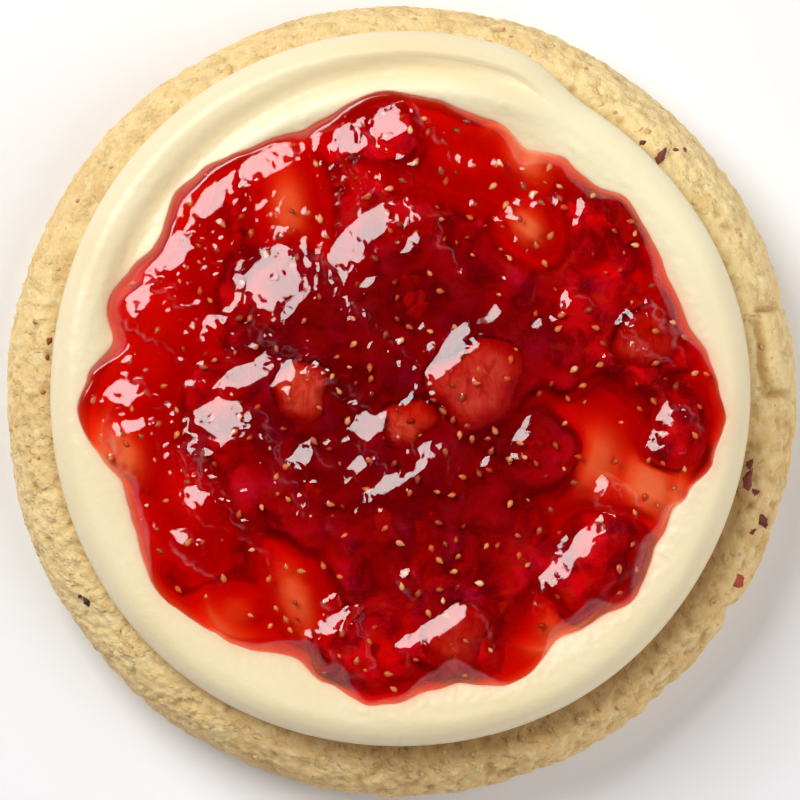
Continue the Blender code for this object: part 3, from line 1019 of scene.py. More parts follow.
@dataclass
class Frosting:
    """Cream spread in a spiral round a shallow well.

    foot gives inset and height above the base of the first rings, from the foot round to the nose, and
    lip the depth and slope by which the cream falls away under the jelly's edge.
    """

    radius: float = 48.6
    crest: float = 25.2
    floor: float = 22.0
    well_radius: float = 35.0
    crest_inset: float = 3.7
    nose_height: float = 20.6
    base: float = 18.3
    foot: Rows = (
        (2.4, 0.0), (1.5, 0.0), (0.9, 0.25), (0.45, 0.8), (0.12, 1.5), (0.0, 2.3),
    )
    out_of_round: Rows = ((0.25, 2, 0.9), (0.15, 5, 0.3))
    swell: float = 2.9
    swollen: Arc = Arc(57, 178, 16, 64)
    well_width: float = 13.5
    well_bend: float = 0.6
    turn_height: float = 0.55
    groove_depth: float = 1.15
    groove_width: float = 1.9
    groove_start: tuple[float, float] = (64.0, 47.4)
    groove_winding: float = 0.056
    grooved: Arc = Arc(58, 182, 14, 24)
    # the turn that gets painted shade along the groove and painted light inside it
    lit_and_shaded_turn: Arc = Arc(70, 170, 14, 20)
    pale_side: Arc = Arc(15, 70, 15, 15)
    blushing: Arc = Arc(-25, 35, 15, 15)
    steps: int = 900
    nose_rings: int = 13
    slope_rings: int = 46
    floor_rings: int = 24
    waviness: Ripple = Ripple(0.22, 11.0)
    graininess: Ripple = Ripple(0.03, 1.2, 5)
    moat: float = 2.5
    window_blend: float = 0.6
    lip: tuple[float, float] = (0.8, 1.7)
    shelf: float = 1.2
    lip_share: float = 0.85
    least_film: float = 0.9
    drag_depth: float = 0.07
    drag_width: float = 1.6
    grain: Grain = field(default_factory=lambda: Grain(21))

    def edge(self, angle: Array) -> Array:
        """The frosting's outer radius at those degrees."""
        return self.radius + waves(angle, self.out_of_round) + self.swell * self.swollen.share(angle)

    def past_groove(self, radius: Array, angle: Array) -> Array:
        """Distance outward from the groove that spirals in between the outer turn and the next."""
        start, groove = self.groove_start
        return radius - (groove - self.groove_winding * (angle - start))

    def height(self, radius: Array, angle: Array) -> Array:
        """The smooth form of the cream's top inside its outer edge.

        Args:
            radius, angle: Distance from the axis and degrees round it.

        Returns:
            Heights in millimetres.
        """
        crest = self.edge(angle) - self.crest_inset
        outer = np.clip((radius - crest) / self.crest_inset, 0.0, 1.0)
        side = self.nose_height + (self.crest - self.nose_height) * np.sqrt(1 - outer * outer)
        rope = smoothstep(self.well_radius, self.radius - self.crest_inset, radius) ** self.well_bend
        past = self.past_groove(radius, angle)
        turns = self.turn_height * bell(past + 3.3, 1.7) - self.groove_depth * bell(past, self.groove_width)
        well = self.floor + (self.crest - self.floor) * rope + self.grooved.share(angle) * turns
        return np.where(outer > 0, side, well)

    def _rings(self) -> tuple[Array, Array, Array]:
        """Lays out the rings, from the foot round the nose and in over the top.

        Returns:
            The radii, degrees and heights of their points.
        """
        angle = np.linspace(0, 360, self.steps, endpoint=False)
        rim = self.crest_inset * (1 - np.sin(np.linspace(math.pi / 2, 0, self.nose_rings)))[1:-1]
        slope = np.linspace(self.crest_inset, self.well_width, self.slope_rings)
        insets = [inset for inset, _ in self.foot] + [*rim, *slope]
        radius = self.edge(angle) - np.array(insets)[:, None]
        radius = np.concatenate([radius, np.linspace(1, 0.03, self.floor_rings)[1:, None] * radius[-1]])
        angle = angle + 0 * radius
        rise = self.height(radius, angle)
        for row, (_, lift) in enumerate(self.foot):
            rise[row] = self.base + lift
        return radius, angle, rise

    def _spread_marks(self, x: Array, y: Array, radius: Array, angle: Array) -> Array:
        """Shallow waves and drag lines that a knife leaves as the cream is spread round."""
        drag = self.drag_depth * self.grain.smooth(*around(8.0, angle), radius, self.drag_width)
        return self.grain.ripples(x, y, self.waviness, self.graininess) + drag

    def _tuck_under(self, rise: Array, x: Array, y: Array, margin: Array, jelly: "Jelly") -> Array:
        """Raises the cream in the jelly's windows and keeps the rest of it under the jelly.

        Args:
            rise: The cream's heights.
            x, y: Positions.
            margin: Distance inward from the jelly's edge.
            jelly: The jelly.

        Returns:
            The new heights.
        """
        moat = self.moat * (1.0 - jelly.clear_of_fruit(x, y))
        top = jelly.smooth_height(x, y)
        for window in jelly.windows:
            raised = soft_max(rise, top - window.depth(x, y) - moat, self.window_blend)
            rise = np.where(margin > -0.3, raised, rise)
        depth, slope = self.lip
        wedge = depth * smoothstep(0.0, 0.3, margin) + slope * np.maximum(margin, 0.0)
        shelf = wedge + self.shelf * smoothstep(0.8, 3.0, margin)
        shallow = np.min([window.reach(x, y) for window in jelly.windows if window.film < 2.0], axis=0)
        least = np.minimum(self.lip_share * wedge, self.least_film + 2.3 * smoothstep(0.7, 2.0, shallow))
        return np.where(margin > 0, np.clip(rise, top - shelf, top - least), rise)

    def _tones(self, radius: Array, angle: Array, margin: Array) -> dict[str, Array]:
        """Numbers for the finish.

        Args:
            radius, angle: Distance from the axis and degrees round it.
            margin: Distance inward from the jelly's edge.

        Returns:
            Shares of stained cream, of cream under the jelly, of painted light and of painted shade by the
            groove.
        """
        extra = 0.25 * self.blushing.share(angle)
        stain = (0.30 + extra) * bell(np.minimum(margin, 0.0), 0.8 + 2.0 * extra) * (margin < 2.0)
        # the warm share is painted shade along the groove
        past, turn = self.past_groove(radius, angle), self.lit_and_shaded_turn.share(angle)
        # painted light on the inner turn, and paler cream on the upper right side
        pale = 0.9 * turn * smoothstep(0.0, -2.5, past) + 0.6 * self.pale_side.share(angle)
        # under the jelly the cream is painted lighter and made rougher
        return {"stain": stain, "bathed_and_lit": smoothstep(-0.2, 1.0, margin), "pale": np.clip(pale, 0, 1),
                "warm_and_groove_shade": 0.8 * turn * bell(past - 0.6, 1.8)}

    def build(self, jelly: "Jelly") -> bpy.types.Object:
        """Makes the frosting.

        Args:
            jelly: The jelly in the well, which the hidden cream stays under.

        Returns:
            The frosting, which stands for its CAD node.
        """
        radius, angle, rise = self._rings()
        x, y = around(radius, angle)
        shown = smoothstep(self.nose_height - 1, self.nose_height + 1.5, rise)
        margin = jelly.edge(angle) - radius
        rise = rise + shown * self._spread_marks(x, y, radius, angle)
        rise = rise + 0.07 * self.grain.smooth(x, y, 7, 1.1) * bell(margin + 1.6, 1.2)
        rise = self._tuck_under(rise, x, y, margin, jelly)
        skin = Skin("spread_frosting")
        skin.body(np.stack([x, y, rise], axis=-1), self._tones(radius, angle, margin))
        made = skin.build(CreamFinish().material())
        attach(made, BODY)
        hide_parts("cream_frosting")
        return made


# ---- the fruit
@dataclass
class Chunk(Turned):
    """One cut piece of strawberry that stands in the jelly.

    skirt is the slope of the jelly that is drawn up round it, and lean the degrees by which its top
    faces the window.
    """

    number: int
    length: float
    width: float
    turn: float
    cut: Cut
    skirt: float
    lean: float = 4.0
    faceted: bool = False
    near_skirt: float = 0.115
    squareness: float = 2.7
    facets: int = 4
    facet_slopes: tuple[float, float] = (0.45, 0.8)
    facet_starts: tuple[float, float] = (0.55, 0.8)
    side_slope: float = 1.3
    doming: float = 0.35
    lumpiness: float = 0.16
    lump_size: float = 2.2
    rim_margin: float = 1.2
    least_film: float = 0.8
    draws: int = 100
    x: float = field(init=False)
    y: float = field(init=False)
    top: float = field(init=False)
    base: float = field(init=False)

    def __post_init__(self) -> None:
        """Takes the piece's place from its CAD node, and its top from how far in the pool it lies."""
        low, high = (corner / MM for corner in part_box(self.node))
        self.x, self.y, self.base = (low.x + high.x) / 2, (low.y + high.y) / 2, low.z
        far = float(smoothstep(-12.0, 15.0, self.x - self.y))
        shore = 25.4 + 0.5 * far + (0.13 + 0.12 * far) * (41.5 - math.hypot(self.x, self.y))
        self.top = min(27.0 + 0.62 * (high.z - 27.0), shore) - self.film

    @property
    def node(self) -> str:
        """The name of the piece's CAD node."""
        return f"strawberry_piece_{self.number:02d}"

    @property
    def film(self) -> float:
        """Thickness of the jelly over the piece."""
        return {Cut.HEART: 0.45, Cut.FLESH: 0.40, Cut.SKIN: 0.95}[self.cut]

    @property
    def size(self) -> float:
        """The piece's mean radius."""
        return (self.length + self.width) / 4

    def reach(self, x: Array, y: Array) -> Array:
        """How far points lie from the piece's middle.

        Args:
            x, y: Positions.

        Returns:
            Shares of the way to the piece's uneven side.
        """
        along, across = self.local(x, y)
        angle, power = np.arctan2(across, along), self.squareness
        uneven = 1 + 0.10 * np.sin(3 * angle + self.number) + 0.06 * np.sin(5 * angle + 2.1 * self.number)
        square = np.abs(2 * along / self.length) ** power + np.abs(2 * across / self.width) ** power
        return square ** (1 / power) / uneven

    def _facets(self, along: Array, across: Array) -> Array:
        """The flat cuts that shape the piece.

        Args:
            along, across: Positions along its length and across it.

        Returns:
            Heights of the lowest of the cuts above the piece's middle.
        """
        draw = np.random.default_rng(self.draws + self.number)
        lowest = np.full(np.shape(along), 50.0)
        for _ in range(self.facets):
            angle = draw.uniform(0, 2 * math.pi)
            slope = draw.uniform(*self.facet_slopes)
            start = draw.uniform(*self.facet_starts) * self.size
            lowest = np.minimum(lowest, slope * (start - along * math.cos(angle) - across * math.sin(angle)))
        return lowest

    def _crown(self, x: Array, y: Array) -> Array:
        """The piece's gently rounded top, which leans towards the window, as if it had no sides.

        Args:
            x, y: Positions.

        Returns:
            Heights in millimetres.
        """
        nearer = np.clip((self.y - y - (self.x - x)) / math.sqrt(2), -self.size, self.size)
        lift = math.tan(math.radians(self.lean)) * (nearer - 0.5 * self.size)
        return self.top + lift - self.doming * np.minimum(self.reach(x, y), 1.0) ** 2

    def height(self, x: Array, y: Array) -> Array:
        """The fruit's own top, also where it falls away round the piece.

        Args:
            x, y: Positions.

        Returns:
            Heights in millimetres.
        """
        crown = self._crown(x, y)
        top = crown - self.side_slope * soft_ramp((self.reach(x, y) - 0.80) * self.size, 0.6)
        return soft_min(top, crown + self._facets(*self.local(x, y)), 0.9) if self.faceted else top

    def cover(self, x: Array, y: Array) -> Array:
        """The jelly over the piece and drawn up round it, less so on the window's side.

        Args:
            x, y: Positions.

        Returns:
            Heights in millimetres.
        """
        off_x, off_y = x - self.x, y - self.y
        away = (off_x - off_y) / (math.sqrt(2) * (np.hypot(off_x, off_y) + 0.5))
        slope = self.near_skirt + (self.skirt - self.near_skirt) * smoothstep(-0.5, 0.6, away)
        past = (self.reach(x, y) - 0.78) * self.size
        sinking = 0.012 * smoothstep(-0.65, -0.15, away) * np.maximum(past - 4.0, 0.0) ** 2
        return self._crown(x, y) + self.film - slope * soft_ramp(past, 0.5) - sinking

    def build(self, jelly: "Jelly") -> bpy.types.Object:
        """Makes the piece.

        Args:
            jelly: The jelly, which the piece stays inside and under.

        Returns:
            The piece, which stands for its CAD node.
        """
        angle = np.linspace(0, 2 * math.pi, 64, endpoint=False)
        out = np.concatenate([np.linspace(0.03, 0.85, 18), np.linspace(0.9, 1.22, 8)])[::-1, None]
        oval_x, oval_y = self.place(np.cos(angle) * self.length / 2, np.sin(angle) * self.width / 2)
        share = out / self.reach(oval_x, oval_y)
        x, y = self.x + share * (oval_x - self.x), self.y + share * (oval_y - self.y)
        lumps = self.lumpiness * jelly.grain.layered(x, y, self.number, self.lump_size)
        rise = self.height(x, y) + lumps
        radius, angles = polar(x, y)
        inward = np.minimum(1.0, (jelly.edge(angles) - self.rim_margin) / radius)
        x, y = x * inward, y * inward
        rise = np.minimum(rise, jelly.smooth_height(x, y) - self.least_film * self.film)
        rings = np.stack([x, y, np.maximum(rise, self.base)], axis=-1)
        foot = np.stack([x[0], y[0], np.full(len(angle), self.base - 0.2)], axis=-1)
        inner = foot * (0.5, 0.5, 1.0) + (0.5 * self.x, 0.5 * self.y, 0.0)
        edge = np.concatenate([np.ones((2, 1)), smoothstep(0.5, 0.98, out)]) + 0 * angle
        skin = Skin(f"cut_strawberry_{self.number:02d}")
        skin.body(np.concatenate([[inner, foot], rings]), {"edge": edge})
        made = skin.build(FruitFinish(self.cut).material())
        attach(made, BODY)
        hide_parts(self.node)
        return made


def cut_pieces() -> list[Chunk]:
    """Lists the length, width, turn, upper side, jelly skirt and lean of each cut piece, and its facets.

    Returns:
        The pieces, each for the CAD node of its number.
    """
    heart, flesh, skin = Cut
    rows = (
        (13.0, 11.0, 38, flesh, 0.55, 4, True), (8.0, 6.2, 30, heart, 0.24, 2),
        (8.4, 7.4, 75, heart, 0.24, 2), (15.0, 12.0, 15, skin, 0.2, 1), (16.0, 12.0, 28, skin, 0.2, 1),
        (10.0, 8.0, 70, skin, 0.34, 1, True),
        (9.5, 8.5, 50, skin, 0.2, 1), (10.0, 7.6, 55, flesh, 0.3, 2, True), (9.0, 7.0, 5, skin, 0.24, 1),
        (13.0, 9.6, 48, skin, 0.32, 1, True), (9.0, 8.0, 20, flesh, 0.3, 2), (9.5, 7.8, 100, skin, 0.2, 1),
        (9.5, 7.4, 120, skin, 0.22, 1), (8.0, 6.4, 85, skin, 0.3, 1), (12.5, 9.6, 35, skin, 0.24, 2),
        (11.5, 9.0, 60, skin, 0.24, 2), (9.0, 6.4, 10, skin, 0.22, 1),
    )
    return [Chunk(number, *row) for number, row in enumerate(rows, start=1)]


# ---- the jelly
@dataclass(frozen=True)
class Crest(Turned):
    """A low wave in the jelly with a short side that leans towards the window and so shines."""

    x: float
    y: float
    length: float
    width: float
    turn: float
    slope: float = 0.36
    least_slope: float = 0.03
    back_slope: float = 0.3
    crease: float = 0.12

    def slopes(self, height: Callable[[Array, Array], Array]) -> Array:
        """How much steeper than the jelly round it the short side has to be.

        Args:
            height: The height of that jelly at some points.

        Returns:
            The slopes at five points from end to end.
        """
        along = np.linspace(-1, 1, 5) * self.length / 2
        half = max(self.width / 2, 0.6)
        fall = height(*self.place(along, -half)) - height(*self.place(along, half))
        return np.maximum(self.slope - fall / (2 * half), self.least_slope)

    def height(self, x: Array, y: Array, slopes: Array, tear: Array) -> Array:
        """How far the jelly is lifted.

        Args:
            x, y: Positions.
            slopes: Slopes of the short side against the jelly round it, from end to end.
            tear: Millimetres by which the crest's outline is torn along its length.

        Returns:
            The lift in millimetres.
        """
        along, across = self.local(x, y)
        slope = np.interp(along * 2 / self.length, np.linspace(-1, 1, len(slopes)), slopes)
        along = (along + tear * min(1.0, self.length / 5)) * 2 / self.length
        wide = self.width * np.clip(1 - np.abs(along / 1.18) ** 2.5, 0, 1)
        front, back = slope * (wide / 2 - across), slope * (wide + self.back_slope * (across + wide / 2))
        return np.maximum(soft_min(front, back, self.crease), 0.0)


@dataclass
class Jelly:
    """The pool of strawberry jelly, the crushed fruit in it and its windows onto the cream.

    lobes gives degrees and radius where the edge turns back, window_rows the numbers of each Window
    and crest_rows those of each Crest.
    """

    frosting: Frosting
    chunks: list[Chunk]
    middle: float = 26.9
    lip: float = 0.6
    shore_slope: float = 0.9
    under: Rows = ((0.985, 21.4), (0.9, 21.2), (0.5, 21.2))
    pulp_under: Rows = ((0.98, 20.6),)
    pulp_floor: float = 21.0
    steps: int = 300
    pulp_steps: int = 210
    lobes: Rows = (
        (-178, 44.6), (-161, 40.2), (-155, 40.9), (-142, 43.0), (-127, 41.3), (-112, 38.8), (-105, 40.5),
        (-95, 42.5), (-80, 40.2), (-67, 42.5), (-56, 39.8), (-49, 40.8), (-40, 42.4), (-28, 40.8),
        (-22, 40.6), (-18, 42.0), (-11, 44.3), (-3, 45.2), (8, 43.2), (15, 41.4), (24, 41.0), (31, 41.4),
        (42, 42.1), (48, 40.0), (55, 40.6), (63, 39.2), (72, 40.9), (92, 42.8), (110, 39.9), (136, 42.5),
        (146, 40.4), (162, 42.7), (169, 40.7), (176, 43.4),
    )
    window_rows: Rows = (
        (-14.4, -27.7, 12.0, 5.5, 108, 1.1), (-22.8, -29.5, 6.5, 6.0, 0, 1.8),
        (27.0, -8.4, 11.0, 8.0, 80, 1.1), (34.5, -11.8, 11.0, 8.0, -50, 0.9),
        (-38.4, -7.4, 9.0, 6.0, 120, 1.0), (-15.4, 26.5, 11.5, 6.0, 97, 1.2),
        (17.8, 23.8, 6.0, 4.5, 130, 0.9), (17.5, 33.5, 10.0, 6.0, 125, 1.3),
        (21.5, -31.0, 9.0, 5.5, 45, 1.5), (-34.0, 9.0, 24.0, 9.0, 80, 3.3),
        (-30.0, -14.0, 12.0, 6.0, 110, 3.2), (8.0, 33.0, 15.0, 6.0, 165, 3.3),
        (24.0, -2.0, 8.0, 5.0, 20, 3.3),
    )
    crest_rows: Rows = (
        (-37.2, 14.4, 7.0, 4.8, 50), (-31.6, 20.4, 7.5, 3.4, 48), (-26.4, 27.6, 8.5, 2.6, 48),
        (-17.2, 33.6, 11.5, 3.4, 27), (-7.2, 35.9, 5.0, 4.2, 50), (-1.4, 38.4, 7.0, 4.0, 50),
        (-16.1, 23.4, 2.8, 1.6, 35), (-13.2, 22.3, 1.5, 0.9, 45), (-23.6, 13.0, 7.0, 1.7, 62),
        (-26.3, 10.4, 2.6, 2.2, 50), (-17.0, 15.8, 13.5, 8.2, 48, 0.34), (-18.4, 9.0, 1.8, 1.4, 40),
        (-26.2, 16.9, 1.8, 1.3, 45), (-9.4, 16.8, 7.0, 3.6, 60), (-7.2, 21.2, 6.4, 3.8, 52),
        (-3.4, 24.6, 9.0, 3.2, 27), (1.5, 26.0, 6.2, 2.8, 25), (1.2, 22.4, 6.8, 3.0, 45),
        (0.9, 21.3, 3.2, 2.4, 32), (2.7, 20.1, 3.0, 2.0, 32), (4.4, 19.0, 2.6, 1.6, 32),
        (-4.8, 17.0, 6.4, 3.0, 38), (-21.0, 3.7, 8.4, 2.8, 25), (-15.6, 4.0, 5.2, 3.0, 32),
        (-18.7, 5.9, 2.0, 1.2, 20), (-39.2, 0.3, 6.2, 4.0, 57), (-37.8, -2.6, 8.0, 4.2, 25),
        (-4.8, -3.5, 6.0, 4.0, 45), (-25.2, -3.4, 12.8, 6.6, 30, 0.34), (-13.8, -8.0, 4.4, 2.6, 55),
        (-10.3, -5.6, 2.0, 1.2, 60), (-26.4, -8.0, 1.8, 1.3, 45), (-5.6, -8.8, 4.0, 1.8, 42),
        (0.4, -9.4, 12.4, 3.4, 36), (-28.3, -13.4, 4.2, 2.8, 50), (-30.8, -19.1, 3.4, 2.6, 45),
        (-26.6, -16.6, 1.2, 0.8, 60), (-9.8, -30.8, 8.2, 3.2, 28), (-8.5, -33.1, 4.4, 1.6, 26),
        (-9.6, -27.3, 2.2, 0.9, 27), (16.4, -5.6, 3.2, 1.6, 62), (11.7, -8.4, 1.8, 1.2, 45),
        (15.6, -7.8, 1.4, 0.8, 45), (27.4, -12.3, 4.8, 2.2, 58), (23.8, -21.6, 16.5, 3.2, 47),
        (22.0, -20.4, 4.5, 1.0, 62), (36.5, -3.0, 5.6, 2.8, 62), (35.6, -6.1, 3.4, 1.7, 15),
        (28.2, 6.2, 1.4, 0.8, 60), (5.3, -31.2, 11.5, 2.8, 37), (1.4, -33.2, 3.6, 1.8, 20),
        (0.6, -24.0, 2.6, 1.2, 35), (17.2, 26.9, 7.0, 2.4, 25), (21.1, 27.6, 2.6, 1.4, 60),
        (24.9, 26.3, 4.2, 1.6, 63), (27.0, 26.0, 3.2, 1.3, 63), (14.2, 32.8, 2.0, 1.6, 45),
        (17.2, 32.3, 1.2, 1.0, 45), (23.1, 14.2, 3.0, 2.0, 60), (21.9, 11.6, 3.4, 1.1, 32),
        (19.0, 10.4, 1.8, 1.2, 45), (32.3, 11.9, 5.6, 3.2, 44), (6.6, 6.4, 9.2, 2.8, 53),
        (13.2, 12.3, 3.8, 1.5, 50), (0.0, 0.9, 6.0, 3.2, 46), (0.7, 4.0, 1.8, 1.1, 55),
        (2.8, 10.0, 1.4, 1.0, 50), (3.2, 14.2, 1.2, 0.8, 40), (14.5, 16.8, 1.2, 0.8, 50),
        (9.8, 5.2, 1.0, 0.6, 40),
    )
    torn: tuple[Ripple, ...] = (Ripple(0.45, 2.4, 30), Ripple(0.18, 0.95, 30))
    ragged: tuple[Ripple, ...] = (Ripple(0.38, 2.2, 45), Ripple(0.10, 0.8, 60))
    tears: tuple[Ripple, ...] = (Ripple(1.1, 1.3, 75), Ripple(0.4, 0.7, 85))
    rolling: tuple[Ripple, ...] = (Ripple(0.16, 9.0), Ripple(0.06, 4.5, 9))
    finest: tuple[Ripple, ...] = (Ripple(0.05, 2.3, 4), Ripple(0.032, 1.1), Ripple(0.02, 0.55, 8))
    seed_count: int = 340
    seed_gap: float = 1.5
    seed_depths: tuple[float, ...] = (0.05, 0.25, 0.45, 0.85)
    seed_shares: tuple[float, ...] = (0.14, 0.3, 0.34, 0.22)
    seed_margin: float = 1.2
    seed_draws: int = 5
    proud_seed: float = 0.17
    proud_spread: float = 0.45
    proud_depth: float = 0.4
    fruit_blend: float = 1.0
    shore_blend: float = 0.15
    fall_outside: float = 1.3
    pulp_lumps: float = 0.8
    pulp_lump_size: float = 5.0
    least_pulp_depth: float = 0.25
    window_sinking: float = 5.0
    shore_sinking: float = 3.0
    grain: Grain = field(default_factory=lambda: Grain(3))
    windows: list[Window] = field(init=False)
    crests: list[tuple[Crest, Array]] = field(init=False)

    def __post_init__(self) -> None:
        """Makes the windows, and the crests with their slopes against the jelly round them."""
        self.windows = [Window(*row) for row in self.window_rows]
        crests = [Crest(*row) for row in self.crest_rows]
        self.crests = [(crest, crest.slopes(self._base_height)) for crest in crests]

    def edge(self, angle: Array) -> Array:
        """The jelly's ragged outline, eased from each lobe or hollow to the next.

        Args:
            angle: Degrees round the axis.

        Returns:
            The radius there.
        """
        marks = np.array(self.lobes, dtype=float)
        marks = np.concatenate([marks[-1:] - [[360, 0]], marks, marks[:1] + [[360, 0]]])
        turned = degrees_from(0, np.asarray(angle, dtype=float))
        after = np.clip(np.searchsorted(marks[:, 0], turned, side="right"), 1, len(marks) - 1)
        (start, near), (end, far) = np.moveaxis(marks[after - 1], -1, 0), np.moveaxis(marks[after], -1, 0)
        ragged = 0.35 * self.grain.smooth(*around(40.0, turned), 0.0, 3.2)
        return near + (far - near) * smoothstep(0.0, 1.0, (turned - start) / (end - start)) + ragged

    def _base_height(self, x: Array, y: Array) -> Array:
        """The jelly's top over the well and the fruit, without its crests.

        Args:
            x, y: Positions.

        Returns:
            Heights in millimetres.
        """
        radius, angle = polar(x, y)
        edge = self.edge(angle)
        inside = np.minimum(radius / edge, 1.0)
        rim = self.frosting.height(edge, angle)
        dome = rim + (self.middle - rim) * (1 - inside**2)
        dome = dome + (1 - inside**8) * self.grain.ripples(x, y, *self.rolling)
        for chunk in self.chunks:
            dome = soft_max(dome, chunk.cover(x, y), self.fruit_blend)
        return dome

    def smooth_height(self, x: Array, y: Array) -> Array:
        """The jelly's top without its finest ripples.

        Args:
            x, y: Positions.

        Returns:
            Heights in millimetres; past the jelly's edge they drop below the cream.
        """
        radius, angle = polar(x, y)
        edge = self.edge(angle)
        inside = np.minimum(radius / edge, 1.0)
        torn_x, torn_y = x + self.grain.ripples(x, y, *self.torn), y + self.grain.ripples(x, y, *self.ragged)
        tear = self.grain.ripples(x, y, *self.tears)
        lift = 0 * x
        for crest, slopes in self.crests:
            lift = np.maximum(lift, crest.height(torn_x, torn_y, slopes, tear))
        dome = self._base_height(x, y) + (1 - inside**24) * lift
        shore = self.frosting.height(edge, angle) - 0.1 + self.lip * np.sqrt(1 - inside**30)
        shore = shore + self.shore_slope * (edge - np.minimum(radius, edge))
        return soft_min(dome, shore, self.shore_blend) - self.fall_outside * np.maximum(radius - edge, 0.0)

    def _height(self, x: Array, y: Array) -> Array:
        """The jelly's top with its finest ripples and the swellings over its shallowest seeds.

        Args:
            x, y: Positions.

        Returns:
            Heights in millimetres.
        """
        radius, angle = polar(x, y)
        ripples = self.grain.ripples(x, y, *self.finest)
        for seed_x, seed_y, depth in self.seeds():
            if depth < self.proud_depth:
                away = (x - seed_x) ** 2 + (y - seed_y) ** 2
                ripples = ripples + self.proud_seed * np.exp(-away / self.proud_spread)
        return self.smooth_height(x, y) + (1 - np.minimum(radius / self.edge(angle), 1.0) ** 20) * ripples

    def seeds(self) -> list[tuple[float, float, float]]:
        """Draws where the seeds lie.

        Returns:
            The x, y and depth under the jelly's top of each seed.
        """
        draw = np.random.default_rng(self.seed_draws)
        found: list[tuple[float, float, float]] = []
        while len(found) < self.seed_count:
            angle = draw.uniform(0, 360)
            radius = (float(self.edge(angle)) - self.seed_margin) * math.sqrt(draw.random())
            x, y = around(radius, angle)
            if all(math.hypot(x - a, y - b) > self.seed_gap for a, b, _ in found):
                found.append((x, y, draw.choice(self.seed_depths, p=self.seed_shares)))
        return found

    def clear_of_fruit(self, x: Array, y: Array) -> Array:
        """0 in and close round a cut piece, 1 away from all of them."""
        return smoothstep(1.0, 1.5, np.min([chunk.reach(x, y) for chunk in self.chunks], axis=0))

    def _window_share(self, x: Array, y: Array) -> Array:
        """1 in and close round a window, 0 away from all of them."""
        nearest = np.min([window.reach(x, y) for window in self.windows], axis=0)
        return (1.0 - smoothstep(1.1, 2.6, nearest)) * self.clear_of_fruit(x, y)

    def _grid(self, steps: int, past: float) -> tuple[Array, Array, Array]:
        """An even grid of points over the pool.

        Args:
            steps: Points along each side of the square that is wrapped onto the pool.
            past: How far it goes past the pool's edge.

        Returns:
            The x and y of the points and their distance inward from the edge, all shaped (steps, steps).
        """
        u, v = np.meshgrid(np.linspace(-1.0, 1.0, steps), np.linspace(-1.0, 1.0, steps))
        with np.errstate(divide="ignore", invalid="ignore"):
            wide = 45.0 * v / u + np.where(u < 0, 180.0, 0.0)
            tall = 90.0 - 45.0 * u / v + np.where(v < 0, 180.0, 0.0)
        angle = np.nan_to_num(np.where(np.abs(u) > np.abs(v), wide, tall))
        edge = self.edge(angle)
        radius = np.maximum(np.abs(u), np.abs(v)) * (edge + past)
        return *around(radius, angle), edge - radius

    def build(self) -> bpy.types.Object:
        """Makes the clear jelly.

        Returns:
            The jelly, which stands for its CAD node.
        """
        x, y, _ = self._grid(self.steps, 0.5)
        skin = Skin("clear_jelly").sheet(np.stack([x, y, self._height(x, y)], axis=-1), self.under, {})
        jelly = skin.build(JellyFinish().material())
        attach(jelly, BODY)
        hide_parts("strawberry_jelly")
        return jelly

    def build_pulp(self) -> bpy.types.Object:
        """Makes the crushed fruit as one lumpy sheet that dips out of sight under the windows.

        Returns:
            The pulp.
        """
        x, y, margin = self._grid(self.pulp_steps, -0.6)
        lumps = 1.0 + self.pulp_lumps * self.grain.layered(x, y, 50, self.pulp_lump_size)
        shore = self.shore_sinking * smoothstep(4.5, 0.0, margin)
        lumps = np.maximum(lumps, self.least_pulp_depth)
        depth = lumps + self.window_sinking * self._window_share(x, y) + shore
        rise = self.smooth_height(x, y) - depth
        for chunk in self.chunks:
            if chunk.cut is not Cut.SKIN:
                rise = np.where(chunk.reach(x, y) < 1.0, np.minimum(rise, chunk.height(x, y) - 0.45), rise)
        places = np.stack([x, y, np.maximum(rise, self.pulp_floor)], axis=-1)
        # share of painted light, higher where the pulp lies deeper
        values = {"lit_when_deep": (smoothstep(1.2, 4.0, depth), 1.0),
                  "middle": (smoothstep(36.0, 14.0, np.hypot(x, y)), 0.0)}
        skin = Skin("crushed_strawberry").sheet(places, self.pulp_under, values)
        pulp = skin.build(PulpFinish().material())
        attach(pulp, BODY)
        return pulp


# ---- seeds
@dataclass
class Seeds:
    """The strawberry seeds on and in the jelly, as one joined mesh."""

    jelly: Jelly
    size: tuple[float, float, float] = (1.35, 0.85, 0.7)
    scales: tuple[float, ...] = (0.55, 0.75, 0.95, 1.05)
    shares: tuple[float, ...] = (0.2, 0.35, 0.3, 0.15)
    roll: float = 0.3
    pitch: float = 0.35
    step: float = 0.4
    draws: int = 6

    def build(self) -> bpy.types.Object:
        """Makes the seeds, each lying along the jelly's top.

        Returns:
            The joined seeds.
        """
        draw = np.random.default_rng(self.draws)
        skin = Skin("strawberry_seeds")
        rings = pod()
        for x, y, depth in self.jelly.seeds():
            size = np.array(self.size) * draw.choice(self.scales, p=self.shares)
            near = self.jelly.smooth_height(x + np.array([0, self.step, 0]), y + np.array([0, 0, self.step]))
            up = Vector((near[0] - near[1], near[0] - near[2], self.step)).normalized()
            lying = Vector((0, 0, 1)).rotation_difference(up).to_matrix()
            turns = (draw.uniform(-self.roll, self.roll), draw.uniform(-self.pitch, self.pitch),
                     draw.uniform(0, ONE_TURN))
            matrix = np.array(lying @ Euler(turns).to_matrix())
            places = (rings * size) @ matrix.T + (x, y, near[0] - depth)
            skin.body(places, {"tone": np.full(places.shape[:2], draw.uniform(0, 1))})
        made = skin.build(SEED_FINISH.material())
        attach(made, BODY)
        return made


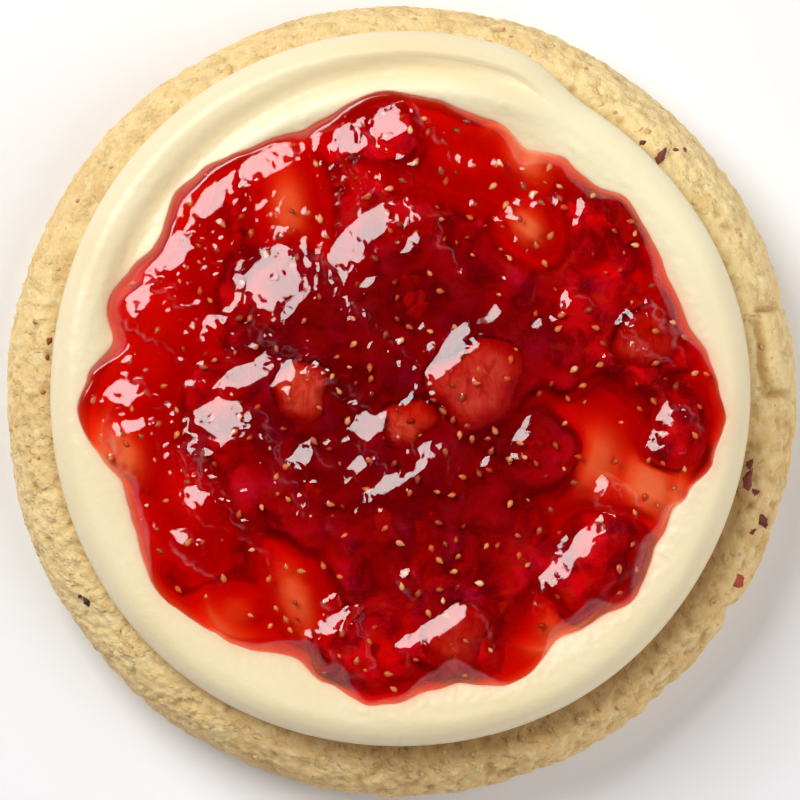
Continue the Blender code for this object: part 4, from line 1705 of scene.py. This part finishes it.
# ---- the studio
@dataclass(frozen=True)
class SoftBox:
    """A square light that looks at the cookie, by degrees from +X and above the table, metres and watts."""

    name: str
    azimuth: float
    elevation: float
    distance: float
    size: float
    power: float
    mirrored: bool = True
    aim_level: float = 0.02

    def build(self) -> None:
        """Makes the light."""
        data = bpy.data.lights.new(self.name, "AREA")
        data.shape = "SQUARE"
        data.size = self.size
        data.energy = self.power
        light = bpy.data.objects.new(self.name, data)
        turn, lift = math.radians(self.azimuth), math.radians(self.elevation)
        way = Vector((math.cos(turn) * math.cos(lift), math.sin(turn) * math.cos(lift), math.sin(lift)))
        light.location = way * self.distance + Vector((0, 0, self.aim_level))
        light.rotation_euler = way.to_track_quat("Z", "Y").to_euler()
        light.visible_glossy = self.mirrored
        bpy.context.scene.collection.objects.link(light)


@dataclass
class Studio:
    """The camera straight above, a soft window light from the upper left and a pale table."""

    camera_height: float = 1.0
    view_width: float = 0.1127
    view_level: float = 0.010
    nearest_seen: float = 0.05
    table_side: float = 1500.0
    lights: tuple[SoftBox, ...] = (
        SoftBox("window_light", azimuth=135, elevation=50, distance=0.9, size=0.53, power=7.1),
        SoftBox("fill_light", azimuth=-12, elevation=54, distance=1.0, size=0.9, power=5.7, mirrored=False),
    )
    sky: Stops = (
        (0.0, (0.72, 0.68, 0.76)), (0.3, (0.28, 0.24, 0.31)), (0.5, (0.06, 0.05, 0.07)),
        (0.64, (0.015, 0.014, 0.016)), (0.8, (0.002, 0.002, 0.002)),
    )

    def build(self) -> None:
        """Makes the camera, the lights, the table and the world."""
        scene = bpy.context.scene
        scene.view_settings.view_transform = "Standard"
        data = bpy.data.cameras.new("camera")
        data.lens = data.sensor_width * (self.camera_height - self.view_level) / self.view_width
        data.clip_start = self.nearest_seen
        camera = bpy.data.objects.new("camera", data)
        camera.location = (0, 0, self.camera_height)
        scene.collection.objects.link(camera)
        scene.camera = camera
        self._table()
        for light in self.lights:
            light.build()
        self._world()

    def _table(self) -> None:
        """Makes the pale table top."""
        skin = Skin("table")
        side = self.table_side
        corners = [[[x, y, 0] for x in (-side, side)] for y in (-side, side)]
        skin.quads(skin.points(np.array(corners)), wrap=False)
        skin.build(TableFinish().material())

    def _world(self) -> None:
        """Makes a soft sky that is brightest low down and dark overhead."""
        bpy.context.scene.world = bpy.data.worlds.new("soft_room")
        shade = Shade(bpy.context.scene.world)
        way = shade.node("ShaderNodeTexCoord", out="Generated")
        colour = shade.ramp(shade.node("ShaderNodeSeparateXYZ", {}, {0: way}, "Z"), self.sky)
        shade.add("ShaderNodeOutputWorld", {}, {0: shade.node("ShaderNodeBackground", {}, {"Color": colour})})


def main() -> None:
    """Builds the cookie from the plate up and reports each piece."""
    logging.basicConfig(level=logging.INFO, format="%(message)s")
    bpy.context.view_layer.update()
    Studio().build()
    cookie = CookieBase()
    frosting = Frosting()
    chunks = cut_pieces()
    jelly = Jelly(frosting, chunks)
    made = [cookie.build(), frosting.build(jelly), jelly.build(), jelly.build_pulp()]
    made += [chunk.build(jelly) for chunk in chunks]
    made += [Seeds(jelly).build(), BakedBits(cookie).build()]
    for piece in made:
        LOG.info("%s: %d faces", piece.name, len(piece.data.polygons))


if __name__ == "__main__":
    main()
